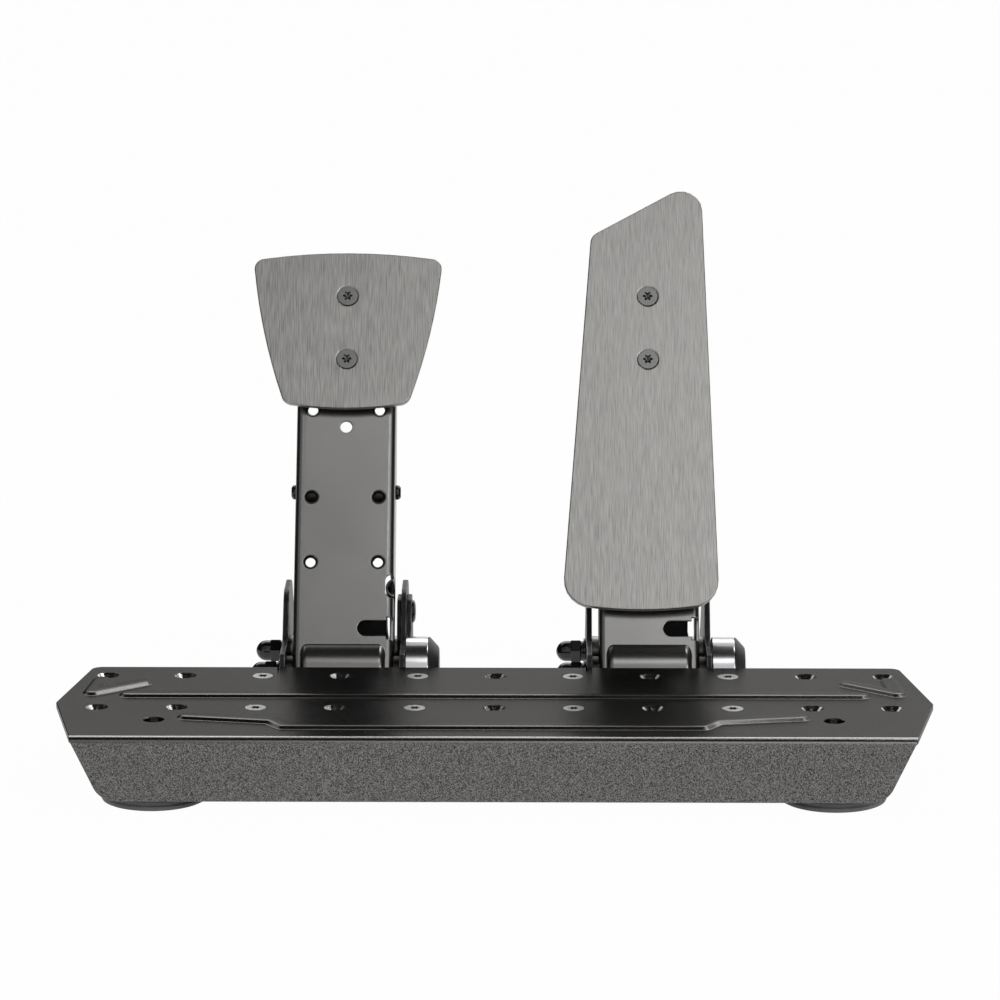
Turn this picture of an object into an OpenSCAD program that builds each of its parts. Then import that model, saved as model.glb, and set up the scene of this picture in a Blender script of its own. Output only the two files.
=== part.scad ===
// Racing pedal set: a brake and a throttle on one folded heel plate.
// Lengths are millimetres, X runs to the right, Y to the rear and Z up.
// Pieces are drawn from the front screw row at the height of the heel plate's top,
// and stood() then puts the origin on the floor under the middle of the set.

/* [Stance] */
// Height of the heel plate's top above the floor
plate_h = 35; // [34:0.5:42]
// Height of each rubber foot
foot_h = 8; // [6:0.5:10]
// Lean of both pedals at rest, back from upright
rest_lean = 31; // [28:0.5:33]
// Hole steps from the middle of the set to the middle of a pedal
pedal_steps = 2; // [2:1:3]

/* [Heel plate] */
// Thickness of the heel plate's sheet
heel_t = 3; // [2.5:0.1:3.5]
// Width at the widest point
heel_w = 387.6; // [380:0.2:400]
// Width along the rear edge
heel_rear_w = 365.6; // [360:0.2:375]
// Width along the front bend
heel_front_w = 366; // [360:0.5:378]
// Rear edge, behind the front screw row
heel_rear_y = 70.5; // [67:0.5:71]
// Widest point, behind the front screw row
heel_wide_y = 8.3; // [5:0.1:12]
// Front face of the flange, ahead of the front screw row
heel_front_y = 51; // [49:0.5:56]
// Outer radius of the front bend
heel_bend_r = 4; // [3.8:0.1:6]
// Lower edge of the flange above the floor
flange_clear = 6.5; // [4:0.5:9]
// Width of the flange along its lower edge
flange_low_w = 339; // [330:0.5:350]
// Rounding of the flange's lower corners
flange_corner_r = 10; // [5:0.5:14]
// Rounding of the plan's corners
heel_corner_r = 5; // [2:0.5:8]

/* [Screw rows] */
// Step between the holes of a row
hole_pitch = 35; // [34:0.5:36]
// Distance between the two rows
row_gap = 55; // [52:0.5:57]
// Least metal between the last hole's middle and the plate's side
row_margin = 6; // [5:0.5:8]
// Clearance hole of an M5 screw
m5_hole = 5.5; // [5.3:0.1:5.8]
// Countersink of an M5 screw
m5_sink = 10; // [9.8:0.1:10.6]
// Bare hole over each front foot
driver_hole = 9; // [8:0.5:10]

/* [Pressed ribs] */
// Width of a rib at its foot
rib_w = 8.5; // [7:0.5:10]
// Width of a rib's flat top
rib_top_w = 5; // [3:0.5:6]
// Height of a rib
rib_h = 1.4; // [1:0.1:1.8]
// Rear rib, behind the front screw row
rear_rib_y = 20.2; // [19:0.2:24]
// Length of the rear rib
rear_rib_w = 325.2; // [300:0.2:328]
// Middle run of the front rib, ahead of the front screw row
front_rib_y = 32.3; // [31:0.1:36]
// Length of the front rib's middle run
front_rib_w = 181.4; // [170:0.2:190]

/* [Feet] */
// Diameter of a foot's lip on the floor
foot_d = 46.6; // [44:0.2:48]
// Front feet, in from the plate's widest point
foot_in = 45.5; // [42:0.5:50]
// Front feet, ahead of the front screw row
front_foot_y = 20.8; // [20:0.1:24]
// Rear feet, behind the front screw row
rear_foot_y = 146; // [142:0.5:148]
// Sheet of the brackets over the front feet
bracket_t = 2; // [1.5:0.1:2.5]
// Width of a bracket's base
bracket_w = 30; // [26:0.5:32]

/* [Pedal frames] */
// Sheet of the frames
frame_t = 2.5; // [2:0.1:2.8]
// From a frame screw's middle to the outside of the frame's wall
wall_to_screw = 6.5; // [6.2:0.1:7]
// Outer radius of the frames' bends
frame_bend_r = 4; // [3:0.1:4.5]
// Frame's front end, ahead of the front screw row
frame_front_y = 10; // [8:0.5:14]
// Rear end of the flanges under the heel plate
frame_flange_y = 66; // [63:0.5:67]
// Frame's rear end, behind the front screw row
frame_rear_y = 172; // [170:0.5:176]
// Metal of a flange beyond its screws
flange_margin = 10; // [8:0.5:10]
// Tops of the side walls above the heel plate
wing_top = 25; // [22:0.5:27]
// Rear wall of the frames, below the heel plate's top
rear_wall_drop = 13; // [11:0.5:16]

/* [Pivots] */
// Pivot axis behind the front screw row
pivot_y = 88; // [88:0.5:90]
// Both lower axes below the heel plate's top
pivot_drop = 7; // [6:0.5:8]
// Strut's lower pin behind the pivot
pin_gap = 40; // [38:0.5:42]
// Strut's upper pin along the arm from the pivot
strut_pin_l = 87; // [85:0.5:88]
// Pivot shaft
shaft_d = 8; // [7:0.5:9]
// Outer diameter of the bushes in the frame's walls
bush_d = 11; // [10.6:0.1:12]
// Flange of the bushes
bush_flange_d = 15; // [14:0.5:16]
// Pins and threads of the struts
pin_d = 6; // [5.8:0.1:6.2]
// Play between a shaft and its bush, on the radius
run_play = 0.05; // [0.03:0.01:0.08]
// Play between pieces that slide face to face
side_play = 0.15; // [0.1:0.05:0.3]

/* [Arms] */
// Gap between an arm and each wall of its frame
arm_gap = 3; // [2.7:0.1:3.5]
// Sheet of the arms
arm_t = 1.8; // [1.4:0.1:2]
// Outer radius of an arm's bends
arm_bend_r = 3; // [2.6:0.1:3.6]
// Front face of an arm, ahead of its pivot
arm_front = 12; // [11:0.5:12.5]
// Rear edges of an arm's sides, behind its pivot
arm_back = 13; // [11:0.5:14]
// Top of an arm above its upper face screw
arm_past_screw = 10.3; // [9:0.1:12]
// Radius of the pressed bulge round the pivot
bulge_r = 15.4; // [15:0.1:15.8]
// Flat metal on each side of the bulge
bulge_in = 3.75; // [3.4:0.05:5]
// Diameter of the cross tube
cross_tube_d = 20; // [16:0.5:20]
// Places of the face screws, as shares of the way from the brake face's foot to its top
screw_shares = [0.31, 0.742];
// Pairs of holes along an arm
side_hole_l = [49.4, 80.9, 123.5];
// Distance of the paired holes from the middle
side_hole_x = 15.5; // [13:0.5:16]
// Diameter of the paired holes
side_hole_d = 6.4; // [5:0.2:7]
// Height of the slot along the arm
slot_l = 17.7; // [17:0.1:19]
// Width of the slot
slot_w = 7.3; // [6:0.1:8]
// Inner end of the slot, from the middle
slot_x = 6.5; // [5:0.5:10]
// Length of the corner window
corner_window = 10.6; // [9:0.2:11]
// Height of the bead window along the arm
bead_l = 38; // [37:0.5:40]
// Length of the bead window
bead_window = 11; // [10:0.5:12]
// Radius of the bead pressed into an arm's right side
bead_r = 3.2; // [2.5:0.1:3.4]

/* [Pedal faces] */
// Thickness of the faces
face_t = 3; // [2.5:0.1:4]
// Spacers between face and arm
face_gap = 3.5; // [3:0.1:4.5]
// Half width of the brake face at its top
brake_top_x = 45; // [42:0.5:47]
// Half width of the brake face at its foot
brake_low_x = 29.2; // [27:0.1:32]
// Height of the brake face's top corners above the pivot
brake_top_l = 196.4; // [195:0.1:200]
// Height of the brake face's lower corners above the pivot
brake_low_l = 124; // [121:0.5:126]
// Height of the throttle face's lower corners above the pivot
throttle_low_l = 26; // [25:0.5:30]
// Height of the throttle face's left shoulder above the pivot
shoulder_l = 208; // [202:0.5:212]
// Slope of the throttle face's top edge
crown_slope = 29.8; // [26:0.2:32]
// Rounding of the throttle face's crown
crown_r = 10; // [8:0.5:12]

/* [Struts] */
// Gap between the strut's blocks and an arm's outsides
block_in = 3.75; // [3.4:0.05:5]
// Radius of a block round its pin
block_r = 8.5; // [8:0.1:8.8]
// Seat of the spring above the lower pin
low_seat = 18; // [17:0.5:18.5]
// Seat of the spring below the upper pin
high_seat = 10.7; // [10:0.1:11.5]
// Thickness of the collars that hold the spring
collar_t = 2.7; // [2:0.1:3]
// Diameter of the collars
collar_d = 28; // [27:0.2:28.6]
// Outer diameter of the springs
spring_d = 27.6; // [26.8:0.2:28]
// Wire of the brake's spring
brake_wire = 4; // [3.6:0.1:4.2]
// Turns of the brake's spring
brake_turns = 7; // [6:1:7]
// Wire of the throttle's spring
throttle_wire = 2.8; // [2.4:0.1:3.2]
// Turns of the throttle's spring
throttle_turns = 9; // [8:1:9]
// Outer diameter of the guide sleeve
sleeve_d = 18.4; // [17.8:0.1:18.6]
// Bore of the guide sleeve
sleeve_bore = 16; // [15.6:0.1:16.2]
// Top of the sleeve above the lower pin
sleeve_top = 40; // [39:0.5:42]
// Diameter of the plunger's rod
rod_d = 11.4; // [11:0.1:11.8]
// Play round the plunger, on the radius
guide_play = 0.55; // [0.45:0.05:0.6]

/* [Sensors] */
// Diameter of a sensor housing
sensor_d = 33; // [31:0.2:33]
// Length of a sensor housing
sensor_l = 10.6; // [10:0.1:12]
// Length of a sensor's cap
sensor_cap_l = 4.9; // [4:0.1:6]

/* [Control box] */
// Gap between the box and the flanges of the frames
box_gap = 3.5; // [2:0.5:6]
// Length of the box
box_l = 38; // [34:0.5:40]
// Height of the box
box_h = 19; // [17:0.5:20]
// Front of the box, behind the front screw row
box_y = 8; // [7:0.5:10]
// Wall of the box
box_wall = 1.8; // [1.5:0.1:2.2]

/* [Hidden] */
$fn = 64;
arc_steps = 6;
bow_steps = 8;

BRAKE = -1;
THROTTLE = 1;

sheet_black = [0.27, 0.27, 0.28];
frame_black = [0.13, 0.13, 0.14];
arm_grey = [0.46, 0.46, 0.45];
brushed = [0.62, 0.61, 0.59];
zinc = [0.78, 0.78, 0.79];
gloss_black = [0.07, 0.07, 0.08];
rubber_black = [0.10, 0.10, 0.10];
moulded_black = [0.16, 0.16, 0.17];
steel = [0.60, 0.61, 0.63];
bronze = [0.68, 0.52, 0.28];
board_green = [0.08, 0.30, 0.17];

// Clearance between a fixed piece and the hole that holds it
fit = 0.05;
// Screws, nuts and the hexagons in their heads
m5_head_d = 9.3;
m5_head_h = 2.2;
m5_shank_d = 4.8;
m5_recess_d = 4.2;
m5_recess_h = 1.6;
m5_nut_flats = 8;
m5_nut_t = 4;
m5_past_nut = 1;
foot_head_d = 9;
foot_head_h = 3;
m3_shank_d = 2.8;
m3_head_d = 5.5;
m3_head_h = 1.8;
pin_recess_d = 4.6;

floor_z = -plate_h;
pan_z = floor_z + foot_h;
under_z = -heel_t;
pedal_x = pedal_steps * hole_pitch;
hole_side = floor((heel_rear_w / 2 - row_margin) / hole_pitch);
front_foot_x = heel_w / 2 - foot_in;
frame_w = 2 * (hole_pitch - wall_to_screw);
wall_in = frame_w / 2 - frame_t;
flange_half = hole_pitch + flange_margin;
arm_w = 2 * (wall_in - arm_gap);
bulge_w = arm_w - 2 * bulge_in;
block_w = arm_w - 2 * block_in;
box_w = 2 * (pedal_x - flange_half - box_gap);

// Two screws hold a face, and the same step below them is a spare hole
face_screw_l = [for (share = screw_shares) brake_low_l + share * (brake_top_l - brake_low_l)];
face_hole_l = concat([2 * face_screw_l[0] - face_screw_l[1]], face_screw_l);
arm_top = face_screw_l[1] + arm_past_screw;
face_back = arm_front + face_gap;
face_front = face_back + face_t;
rear_pin_y = pivot_y + pin_gap;
arm_line = [sin(rest_lean), cos(rest_lean)];
strut_line = arm_line * strut_pin_l - [pin_gap, 0];
strut_l = norm(strut_line);
strut_lean = atan2(strut_line.x, strut_line.y);
high_seat_s = strut_l - high_seat;
seat_gap = high_seat_s - low_seat;

// Plan of the throttle face, corners as [x, height above the pivot, radius, bow]
throttle_right_x = 32.2;
throttle_right_taper = 0.0324;
throttle_left_x = 40;
throttle_left_taper = 0.0748;
shoulder_x = -throttle_left_x + throttle_left_taper * (shoulder_l - throttle_low_l);
crown_x = throttle_right_x - throttle_right_taper * (shoulder_l - throttle_low_l);
crown_rise = (crown_x - shoulder_x) * tan(crown_slope) / (1 + throttle_right_taper * tan(crown_slope));
throttle_low_bow = 1.4;
throttle_plan = [
    [-throttle_left_x, throttle_low_l, 13, throttle_low_bow],
    [throttle_right_x, throttle_low_l, 13, 0],
    [crown_x - throttle_right_taper * crown_rise, shoulder_l + crown_rise, crown_r, 0],
    [shoulder_x, shoulder_l, 6, 0]
];
throttle_apex = max([for (p = outline(throttle_plan)) p.y]);

brake_plan = [
    [-brake_low_x, brake_low_l, 6, 1.9],
    [brake_low_x, brake_low_l, 6, 1.7],
    [brake_top_x, brake_top_l, 5, 2.8],
    [-brake_top_x, brake_top_l, 5, 1.7]
];

// Rearmost point of the set is the throttle face's top, the frontmost is the flange
set_rear_y = pivot_y + throttle_apex * sin(rest_lean) - face_back * cos(rest_lean);
middle_y = (set_rear_y - heel_front_y) / 2;

// Ribs as lists of plan points
rib_step = [5.8, 8.7];
rib_tail = [37.5, 6.6];
rear_rib = [[-rear_rib_w / 2, rear_rib_y], [rear_rib_w / 2, rear_rib_y]];
front_rib_end = [front_rib_w / 2, -front_rib_y];
front_rib_half = [front_rib_end, front_rib_end + rib_step, front_rib_end + rib_step + rib_tail];
front_rib = concat(
    [for (i = [2:-1:0]) [-front_rib_half[i].x, front_rib_half[i].y]],
    front_rib_half
);
corner_rib_in = 14.8;
corner_rib_tip = [heel_w / 2 - corner_rib_in, rear_rib_y + 3.3];
corner_rib = [corner_rib_tip + [-2.5, 24.5], corner_rib_tip, corner_rib_tip + [-21, 17.1]];

// Outlines with rounded corners and bowed sides

function toward(a, b) = (b - a) / norm(b - a);

function flat(p) = [p.x, p.y];

// Middle of the arc that rounds a corner [x, y, radius] between its neighbours
function corner_middle(before, corner, after) =
    let (
        u = toward(flat(corner), flat(before)),
        v = toward(flat(corner), flat(after)),
        half = acos(u * v) / 2
    )
    flat(corner) + toward([0, 0], u + v) * corner[2] / sin(half);

function corner_arc(before, corner, after) =
    corner[2] == 0 ? [flat(corner)] :
    let (
        u = toward(flat(corner), flat(before)),
        v = toward(flat(corner), flat(after)),
        middle = corner_middle(before, corner, after),
        touch = flat(corner) + u * ((middle - flat(corner)) * u),
        start = atan2(touch.y - middle.y, touch.x - middle.x),
        turn = 180 - acos(u * v),
        side = u.x * v.y - u.y * v.x > 0 ? -1 : 1
    )
    [for (i = [0:arc_steps]) middle + corner[2] * [
        cos(start + side * turn * i / arc_steps),
        sin(start + side * turn * i / arc_steps)
    ]];

// Points between a and b on a side that swells by bow to its right
function bowed_side(a, b, bow) =
    bow == 0 ? [] :
    let (d = toward(a, b))
    [for (i = [1:bow_steps - 1])
        let (t = i / bow_steps)
        a + (b - a) * t + [d.y, -d.x] * bow * 4 * t * (1 - t)];

function outline(plan) =
    let (
        n = len(plan),
        arcs = [for (i = [0:n - 1])
            corner_arc(plan[(i + n - 1) % n], plan[i], plan[(i + 1) % n])]
    )
    [for (i = [0:n - 1]) each concat(
        arcs[i],
        bowed_side(arcs[i][len(arcs[i]) - 1], arcs[(i + 1) % n][0],
            len(plan[i]) > 3 ? plan[i][3] : 0)
    )];

// Places

module stood() translate([0, -middle_y, plate_h]) children();

module at_pedal(side) stood() translate([side * pedal_x, 0, 0]) children();

// Turns drawing planes: along_x lays a (y, z) section, along_y an (x, z) section
module along_x(from, to) translate([from, 0, 0]) rotate([90, 0, 90])
    linear_extrude(to - from) children();

module along_y(from, to) translate([0, to, 0]) rotate([90, 0, 0])
    linear_extrude(to - from) children();

// Arm frame: pivot at the origin, Z up the arm, -Y out of its front face
module on_arm(side) at_pedal(side) translate([0, pivot_y, -pivot_drop])
    rotate([-rest_lean, 0, 0]) children();

// Strut frame: lower pin at the origin, Z along the strut
module on_strut(side) at_pedal(side) translate([0, rear_pin_y, -pivot_drop])
    rotate([-strut_lean, 0, 0]) children();

// Round bar along X between two places
module bar_x(from, to, d) translate([from, 0, 0]) rotate([0, 90, 0])
    cylinder(h = to - from, d = d);

module both_ends() {
    children();
    mirror([1, 0, 0]) children();
}

// Fasteners

// Hole through a sheet of thickness t with its countersink at the top, z = t
module sunk_hole(t, d = m5_hole, sink = m5_sink) {
    depth = (sink - d) / 2;
    translate([0, 0, -0.5]) cylinder(h = t + 1, d = d);
    translate([0, 0, t - depth]) cylinder(h = depth, d1 = d, d2 = sink);
    translate([0, 0, t]) cylinder(h = 1, d = sink);
}

// Countersunk screw with its flat top at z = 0
module sunk_screw(length) difference() {
    union() {
        translate([0, 0, -m5_head_h]) cylinder(h = m5_head_h, d1 = m5_shank_d, d2 = m5_head_d);
        translate([0, 0, -length]) cylinder(h = length - m5_head_h + 0.2, d = m5_shank_d);
    }
    translate([0, 0, -m5_recess_h]) cylinder(h = m5_recess_h + 1, d = m5_recess_d, $fn = 6);
}

// Flat-headed screw: the head stands on z = 0 and the shank hangs below
module pan_screw(length, head_d, head_h, shank_d) difference() {
    union() {
        cylinder(h = head_h, d = head_d);
        translate([0, 0, -length]) cylinder(h = length + 0.5, d = shank_d);
    }
    translate([0, 0, head_h * 0.45]) cylinder(h = head_h, d = head_d * 0.45, $fn = 6);
}

module hex_nut(flats, t, bore) difference() {
    cylinder(h = t, d = flats / cos(30), $fn = 6);
    translate([0, 0, -0.5]) cylinder(h = t + 1, d = bore);
}

// Washer, lock washer and acorn nut on a thread that points to -X from x = from
washer_t = 1.1;
washer_d = 12;
lock_washer_d = 9.4;
washer_play = 0.4;
acorn_flats = 10;
acorn_hex_l = 5;
acorn_l = 11.7;
acorn_wall = 2.6;
acorn_turn = 14;
module acorn_stack(from) {
    dome_r = acorn_flats * 0.475;
    nut_x = from - 2 * washer_t - acorn_l;
    hex_x = nut_x + acorn_l - acorn_hex_l;
    difference() {
        bar_x(from - washer_t, from, washer_d);
        bar_x(from - washer_t - 1, from + 1, pin_d + washer_play);
    }
    difference() {
        bar_x(from - 2 * washer_t, from - washer_t, lock_washer_d);
        bar_x(from - 2 * washer_t - 1, from, pin_d + washer_play);
    }
    difference() {
        union() {
            translate([hex_x, 0, 0]) rotate([acorn_turn, 0, 0]) rotate([0, 90, 0])
                cylinder(h = acorn_hex_l, d = acorn_flats / cos(30), $fn = 6);
            bar_x(nut_x + dome_r, hex_x + 0.5, 2 * dome_r);
            translate([nut_x + dome_r, 0, 0]) sphere(dome_r);
        }
        bar_x(thread_end(from), nut_x + acorn_l + 1, pin_d);
    }
}

// A thread is drawn this much under its size, so that it doesn't cut its nut
thread_slack = 0.02;

// End of a thread that an acorn nut closes
function thread_end(from) = from - 2 * washer_t - acorn_l + acorn_wall;

// Heel plate

// Sloping side of a rib as [half width, height], from low under the sheet's face to its flat top
function rib_side(foot_w, top_w, low, high) = [
    [foot_w / 2 + (foot_w - top_w) / 2 * low / high, -low],
    [top_w / 2, high]
];

module rib_run(a, b, side) {
    d = b - a;
    n = len(side);
    translate([a.x, a.y, 0]) rotate([0, 0, atan2(d.y, d.x)]) rotate([90, 0, 90])
        linear_extrude(norm(d)) polygon(concat(
            side,
            [for (i = [n - 1:-1:0]) [-side[i].x, side[i].y]]
        ));
}

// Rounded end, a shade narrower than the run so that their sides cross cleanly
end_ease = 0.02;
module rib_end(p, side) translate([p.x, p.y, 0]) rotate_extrude() polygon(concat(
    [[0, side[0].y]],
    [for (q = side) [q.x - end_ease, q.y]],
    [[0, side[len(side) - 1].y]]
));

module rib(path, side) {
    for (p = path) rib_end(p, side);
    for (i = [1:len(path) - 1]) rib_run(path[i - 1], path[i], side);
}

// How much narrower a rib is on the sheet's underside
rib_hollow = 1.2;
module all_ribs(foot_w, top_w, low) {
    side = rib_side(foot_w, top_w, low, rib_h);
    rib(rear_rib, side);
    rib(front_rib, side);
    both_ends() rib(corner_rib, side);
}

module heel_plan() polygon(outline([
    [-heel_front_w / 2, heel_bend_r - heel_front_y, 0],
    [heel_front_w / 2, heel_bend_r - heel_front_y, 0],
    [heel_w / 2, heel_wide_y, heel_corner_r],
    [heel_rear_w / 2, heel_rear_y, heel_corner_r],
    [-heel_rear_w / 2, heel_rear_y, heel_corner_r],
    [-heel_w / 2, heel_wide_y, heel_corner_r]
]));

module flange_front() polygon(outline([
    [-heel_front_w / 2, 0, 0],
    [-flange_low_w / 2, floor_z + flange_clear, flange_corner_r],
    [flange_low_w / 2, floor_z + flange_clear, flange_corner_r],
    [heel_front_w / 2, 0, 0]
]));

// Bend and flange as seen from the side
module flange_section() {
    inner_r = heel_bend_r - heel_t;
    middle = [heel_bend_r - heel_front_y, -heel_bend_r];
    intersection() {
        translate(middle) difference() {
            circle(heel_bend_r);
            circle(inner_r);
        }
        translate([-heel_front_y, -heel_bend_r]) square(heel_bend_r);
    }
    translate([-heel_front_y, floor_z]) square([heel_t, plate_h - heel_bend_r]);
}

module heel_plate() color(sheet_black) stood() difference() {
    union() {
        translate([0, 0, under_z]) linear_extrude(heel_t) heel_plan();
        intersection() {
            along_x(-heel_w / 2, heel_w / 2) flange_section();
            along_y(-heel_front_y - 1, heel_bend_r - heel_front_y) flange_front();
        }
        all_ribs(rib_w, rib_top_w, heel_t / 3);
    }
    translate([0, 0, under_z])
        all_ribs(rib_w - rib_hollow, rib_top_w - rib_hollow, 0.5);
    for (i = [-hole_side:hole_side], y = [0, row_gap])
        translate([i * hole_pitch, y, under_z]) sunk_hole(heel_t);
    both_ends() translate([front_foot_x, -front_foot_y, under_z - 1])
        cylinder(h = heel_t + 2, d = driver_hole);
}

// Feet and their brackets

bracket_l = 30;
bracket_flange = 10;

module bracket_section() {
    low = pan_z;
    half = bracket_w / 2;
    difference() {
        translate([-half, low]) square([bracket_w, under_z - low]);
        translate([bracket_t - half, low + bracket_t])
            square([bracket_w - 2 * bracket_t, under_z - low]);
    }
    for (s = [-1, 1]) translate([s * (half + bracket_flange / 2), under_z - bracket_t / 2])
        square([bracket_flange, bracket_t], center = true);
}

module foot_bracket(side) color(frame_black) stood()
    translate([side * front_foot_x, -front_foot_y, 0]) difference() {
        along_y(-bracket_l / 2, bracket_l / 2) bracket_section();
        translate([0, 0, pan_z - 1]) cylinder(h = bracket_t + 2, d = m5_hole);
    }
module foot_bracket_left() foot_bracket(-1);
module foot_bracket_right() foot_bracket(1);

insert_d = 11;
insert_h = 4.5;
insert_z = 2.5;

// Places of the four feet as [x, y, sheet above the foot]
foot_places = [
    [-front_foot_x, -front_foot_y, bracket_t],
    [front_foot_x, -front_foot_y, bracket_t],
    [-pedal_x, rear_foot_y, frame_t],
    [pedal_x, rear_foot_y, frame_t]
];

module at_foot(i) stood() translate([foot_places[i].x, foot_places[i].y, floor_z]) children();

// A foot stands on a ring and narrows above its lip
foot_hollow_d = 30;
foot_edge = 0.8;
foot_lip_h = 2;
foot_waist = 1.2;

module foot(i) color(rubber_black) at_foot(i) difference() {
    r = foot_d / 2;
    rotate_extrude() polygon([
        [0, foot_edge],
        [foot_hollow_d / 2, foot_edge],
        [foot_hollow_d / 2 + foot_edge, 0],
        [r - foot_edge, 0],
        [r, foot_edge],
        [r, foot_lip_h],
        [r - foot_waist, foot_lip_h + foot_edge],
        [r - foot_waist - foot_edge / 2, foot_h - foot_waist],
        [r - 2 * foot_waist - foot_edge / 2, foot_h],
        [0, foot_h]
    ]);
    translate([0, 0, insert_z]) cylinder(h = insert_h, d = insert_d);
    translate([0, 0, insert_z]) cylinder(h = foot_h, d = m5_hole);
}
module front_foot_left() foot(0);
module front_foot_right() foot(1);
module rear_foot_left() foot(2);
module rear_foot_right() foot(3);

module foot_inserts() color(bronze) for (i = [0:3]) at_foot(i)
    translate([0, 0, insert_z]) difference() {
        cylinder(h = insert_h, d = insert_d - fit);
        translate([0, 0, -0.5]) cylinder(h = insert_h + 1, d = m5_shank_d + 2 * fit);
    }

module foot_screws() color(zinc) for (i = [0:3]) at_foot(i)
    translate([0, 0, foot_h + foot_places[i].z])
        pan_screw(foot_h + foot_places[i].z - insert_z - 1, foot_head_d, foot_head_h, m5_shank_d);

// Pedal frames

module at_frame_screws() for (side = [BRAKE, THROTTLE], s = [-1, 1], y = [0, row_gap])
    stood() translate([side * pedal_x + s * hole_pitch, y, 0]) children();

module frame_screws() color(zinc) at_frame_screws()
    sunk_screw(heel_t + frame_t + m5_nut_t + 2 * m5_past_nut);

module frame_nuts() color(zinc) at_frame_screws()
    translate([0, 0, under_z - frame_t - m5_nut_t]) hex_nut(m5_nut_flats, m5_nut_t, m5_shank_d + 2 * fit);

// Floor pan and lower walls as seen from the front
module pan_section() {
    top = under_z - frame_bend_r;
    w = frame_w / 2;
    r = frame_bend_r;
    inner_r = r - frame_t;
    difference() {
        union() {
            translate([-w, pan_z + r]) square([frame_w, top - pan_z - r]);
            translate([r - w, pan_z]) square([frame_w - 2 * r, r + 1]);
            for (s = [-1, 1]) translate([s * (w - r), pan_z + r]) circle(r);
        }
        union() {
            translate([-wall_in, pan_z + r]) square([2 * wall_in, plate_h]);
            translate([r - w, pan_z + frame_t]) square([frame_w - 2 * r, r + 1]);
            for (s = [-1, 1]) translate([s * (w - r), pan_z + r]) circle(inner_r);
        }
    }
}

// Walls turned outwards under the heel plate
module flange_bends() for (s = [-1, 1]) {
    r = frame_bend_r;
    middle = [s * (wall_in + r), under_z - r];
    intersection() {
        translate(middle) difference() {
            circle(r);
            circle(r - frame_t);
        }
        translate([s * (wall_in + r / 2), under_z - r / 2]) square(r, center = true);
    }
    translate([s * (wall_in + r + flange_half) / 2, under_z - frame_t / 2])
        square([flange_half - wall_in - r, frame_t], center = true);
}

// Outline of a side wall behind the heel plate: a low step over the pivot and a wing over the pins
wing_half = 13;
wing_lead = 2;
wing_corner_r = 12;
step_z = 5;
step_len = 10;
step_corner_r = 6;
heel_gap = 0.6;
module wing_plan() polygon(outline([
    [frame_rear_y - frame_bend_r, pan_z + frame_bend_r, 0],
    [frame_rear_y, pan_z + frame_bend_r, 0],
    [frame_rear_y, -rear_wall_drop, step_corner_r],
    [rear_pin_y + wing_half, wing_top, wing_corner_r],
    [rear_pin_y - wing_half - wing_lead, wing_top, wing_corner_r],
    [pivot_y + step_len, step_z, step_corner_r],
    [heel_rear_y + 5 * heel_gap, step_z, step_corner_r / 2],
    [heel_rear_y + heel_gap, under_z - frame_t, frame_t * 0.6],
    [frame_flange_y - wing_lead, under_z - frame_t, 0],
    [frame_flange_y - wing_lead, pan_z + frame_bend_r, 0]
]));

sensor_screw_r = 10.4;

module frame_sheet() {
    along_y(-frame_front_y, frame_rear_y) pan_section();
    along_y(-frame_front_y, frame_flange_y) flange_bends();
    both_ends() along_x(wall_in, frame_w / 2) wing_plan();
    translate([-wall_in - 1, frame_rear_y - frame_t, pan_z + 1])
        cube([2 * wall_in + 2, frame_t, -rear_wall_drop - pan_z - 1]);
}

module frame(side) color(frame_black) at_pedal(side) difference() {
    frame_sheet();
    translate([0, pivot_y, -pivot_drop]) {
        bar_x(-frame_w, frame_w, bush_d);
        at_sensor_screws() bar_x(0, frame_w, m3_shank_d + 2 * fit);
    }
    translate([0, rear_pin_y, -pivot_drop]) bar_x(-frame_w, frame_w, pin_d + 2 * fit);
    for (s = [-1, 1], y = [0, row_gap]) translate([s * hole_pitch, y, under_z - frame_t - 1])
        cylinder(h = frame_t + 2, d = m5_hole);
    translate([0, rear_foot_y, pan_z - 1]) cylinder(h = frame_t + 2, d = m5_hole);
    if (side == BRAKE) translate([0, side_screw_y, side_screw_z])
        bar_x(0, frame_w, pin_d + 2 * fit);
}
module brake_frame() frame(BRAKE);
module throttle_frame() frame(THROTTLE);

module pivot_bushes() color(bronze) for (side = [BRAKE, THROTTLE])
    at_pedal(side) translate([0, pivot_y, -pivot_drop]) both_ends() difference() {
        union() {
            bar_x(arm_w / 2 + side_play, wall_in, bush_flange_d);
            bar_x(wall_in - 0.5, frame_w / 2, bush_d - 2 * fit);
        }
        bar_x(0, frame_w, shaft_d + 2 * run_play);
    }

pin_head_t = 3.3;
pin_head_d = 10.5;
pin_head_floor = 1.2;
function rear_head_x(side) = frame_w / 2 + (side == BRAKE ? side_plate_t : 0);

module rear_pins() color(gloss_black) for (side = [BRAKE, THROTTLE])
    at_pedal(side) translate([0, rear_pin_y, -pivot_drop]) difference() {
        union() {
            bar_x(thread_end(-frame_w / 2) + 0.4, rear_head_x(side) + 0.5, pin_d - thread_slack);
            bar_x(rear_head_x(side), rear_head_x(side) + pin_head_t, pin_head_d);
        }
        translate([rear_head_x(side) + pin_head_floor, 0, 0]) rotate([0, 90, 0])
            cylinder(h = pin_head_t, d = pin_recess_d, $fn = 6);
    }

module rear_pin_nuts() color(gloss_black) for (side = [BRAKE, THROTTLE])
    at_pedal(side) translate([0, rear_pin_y, -pivot_drop]) acorn_stack(-frame_w / 2);

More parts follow.
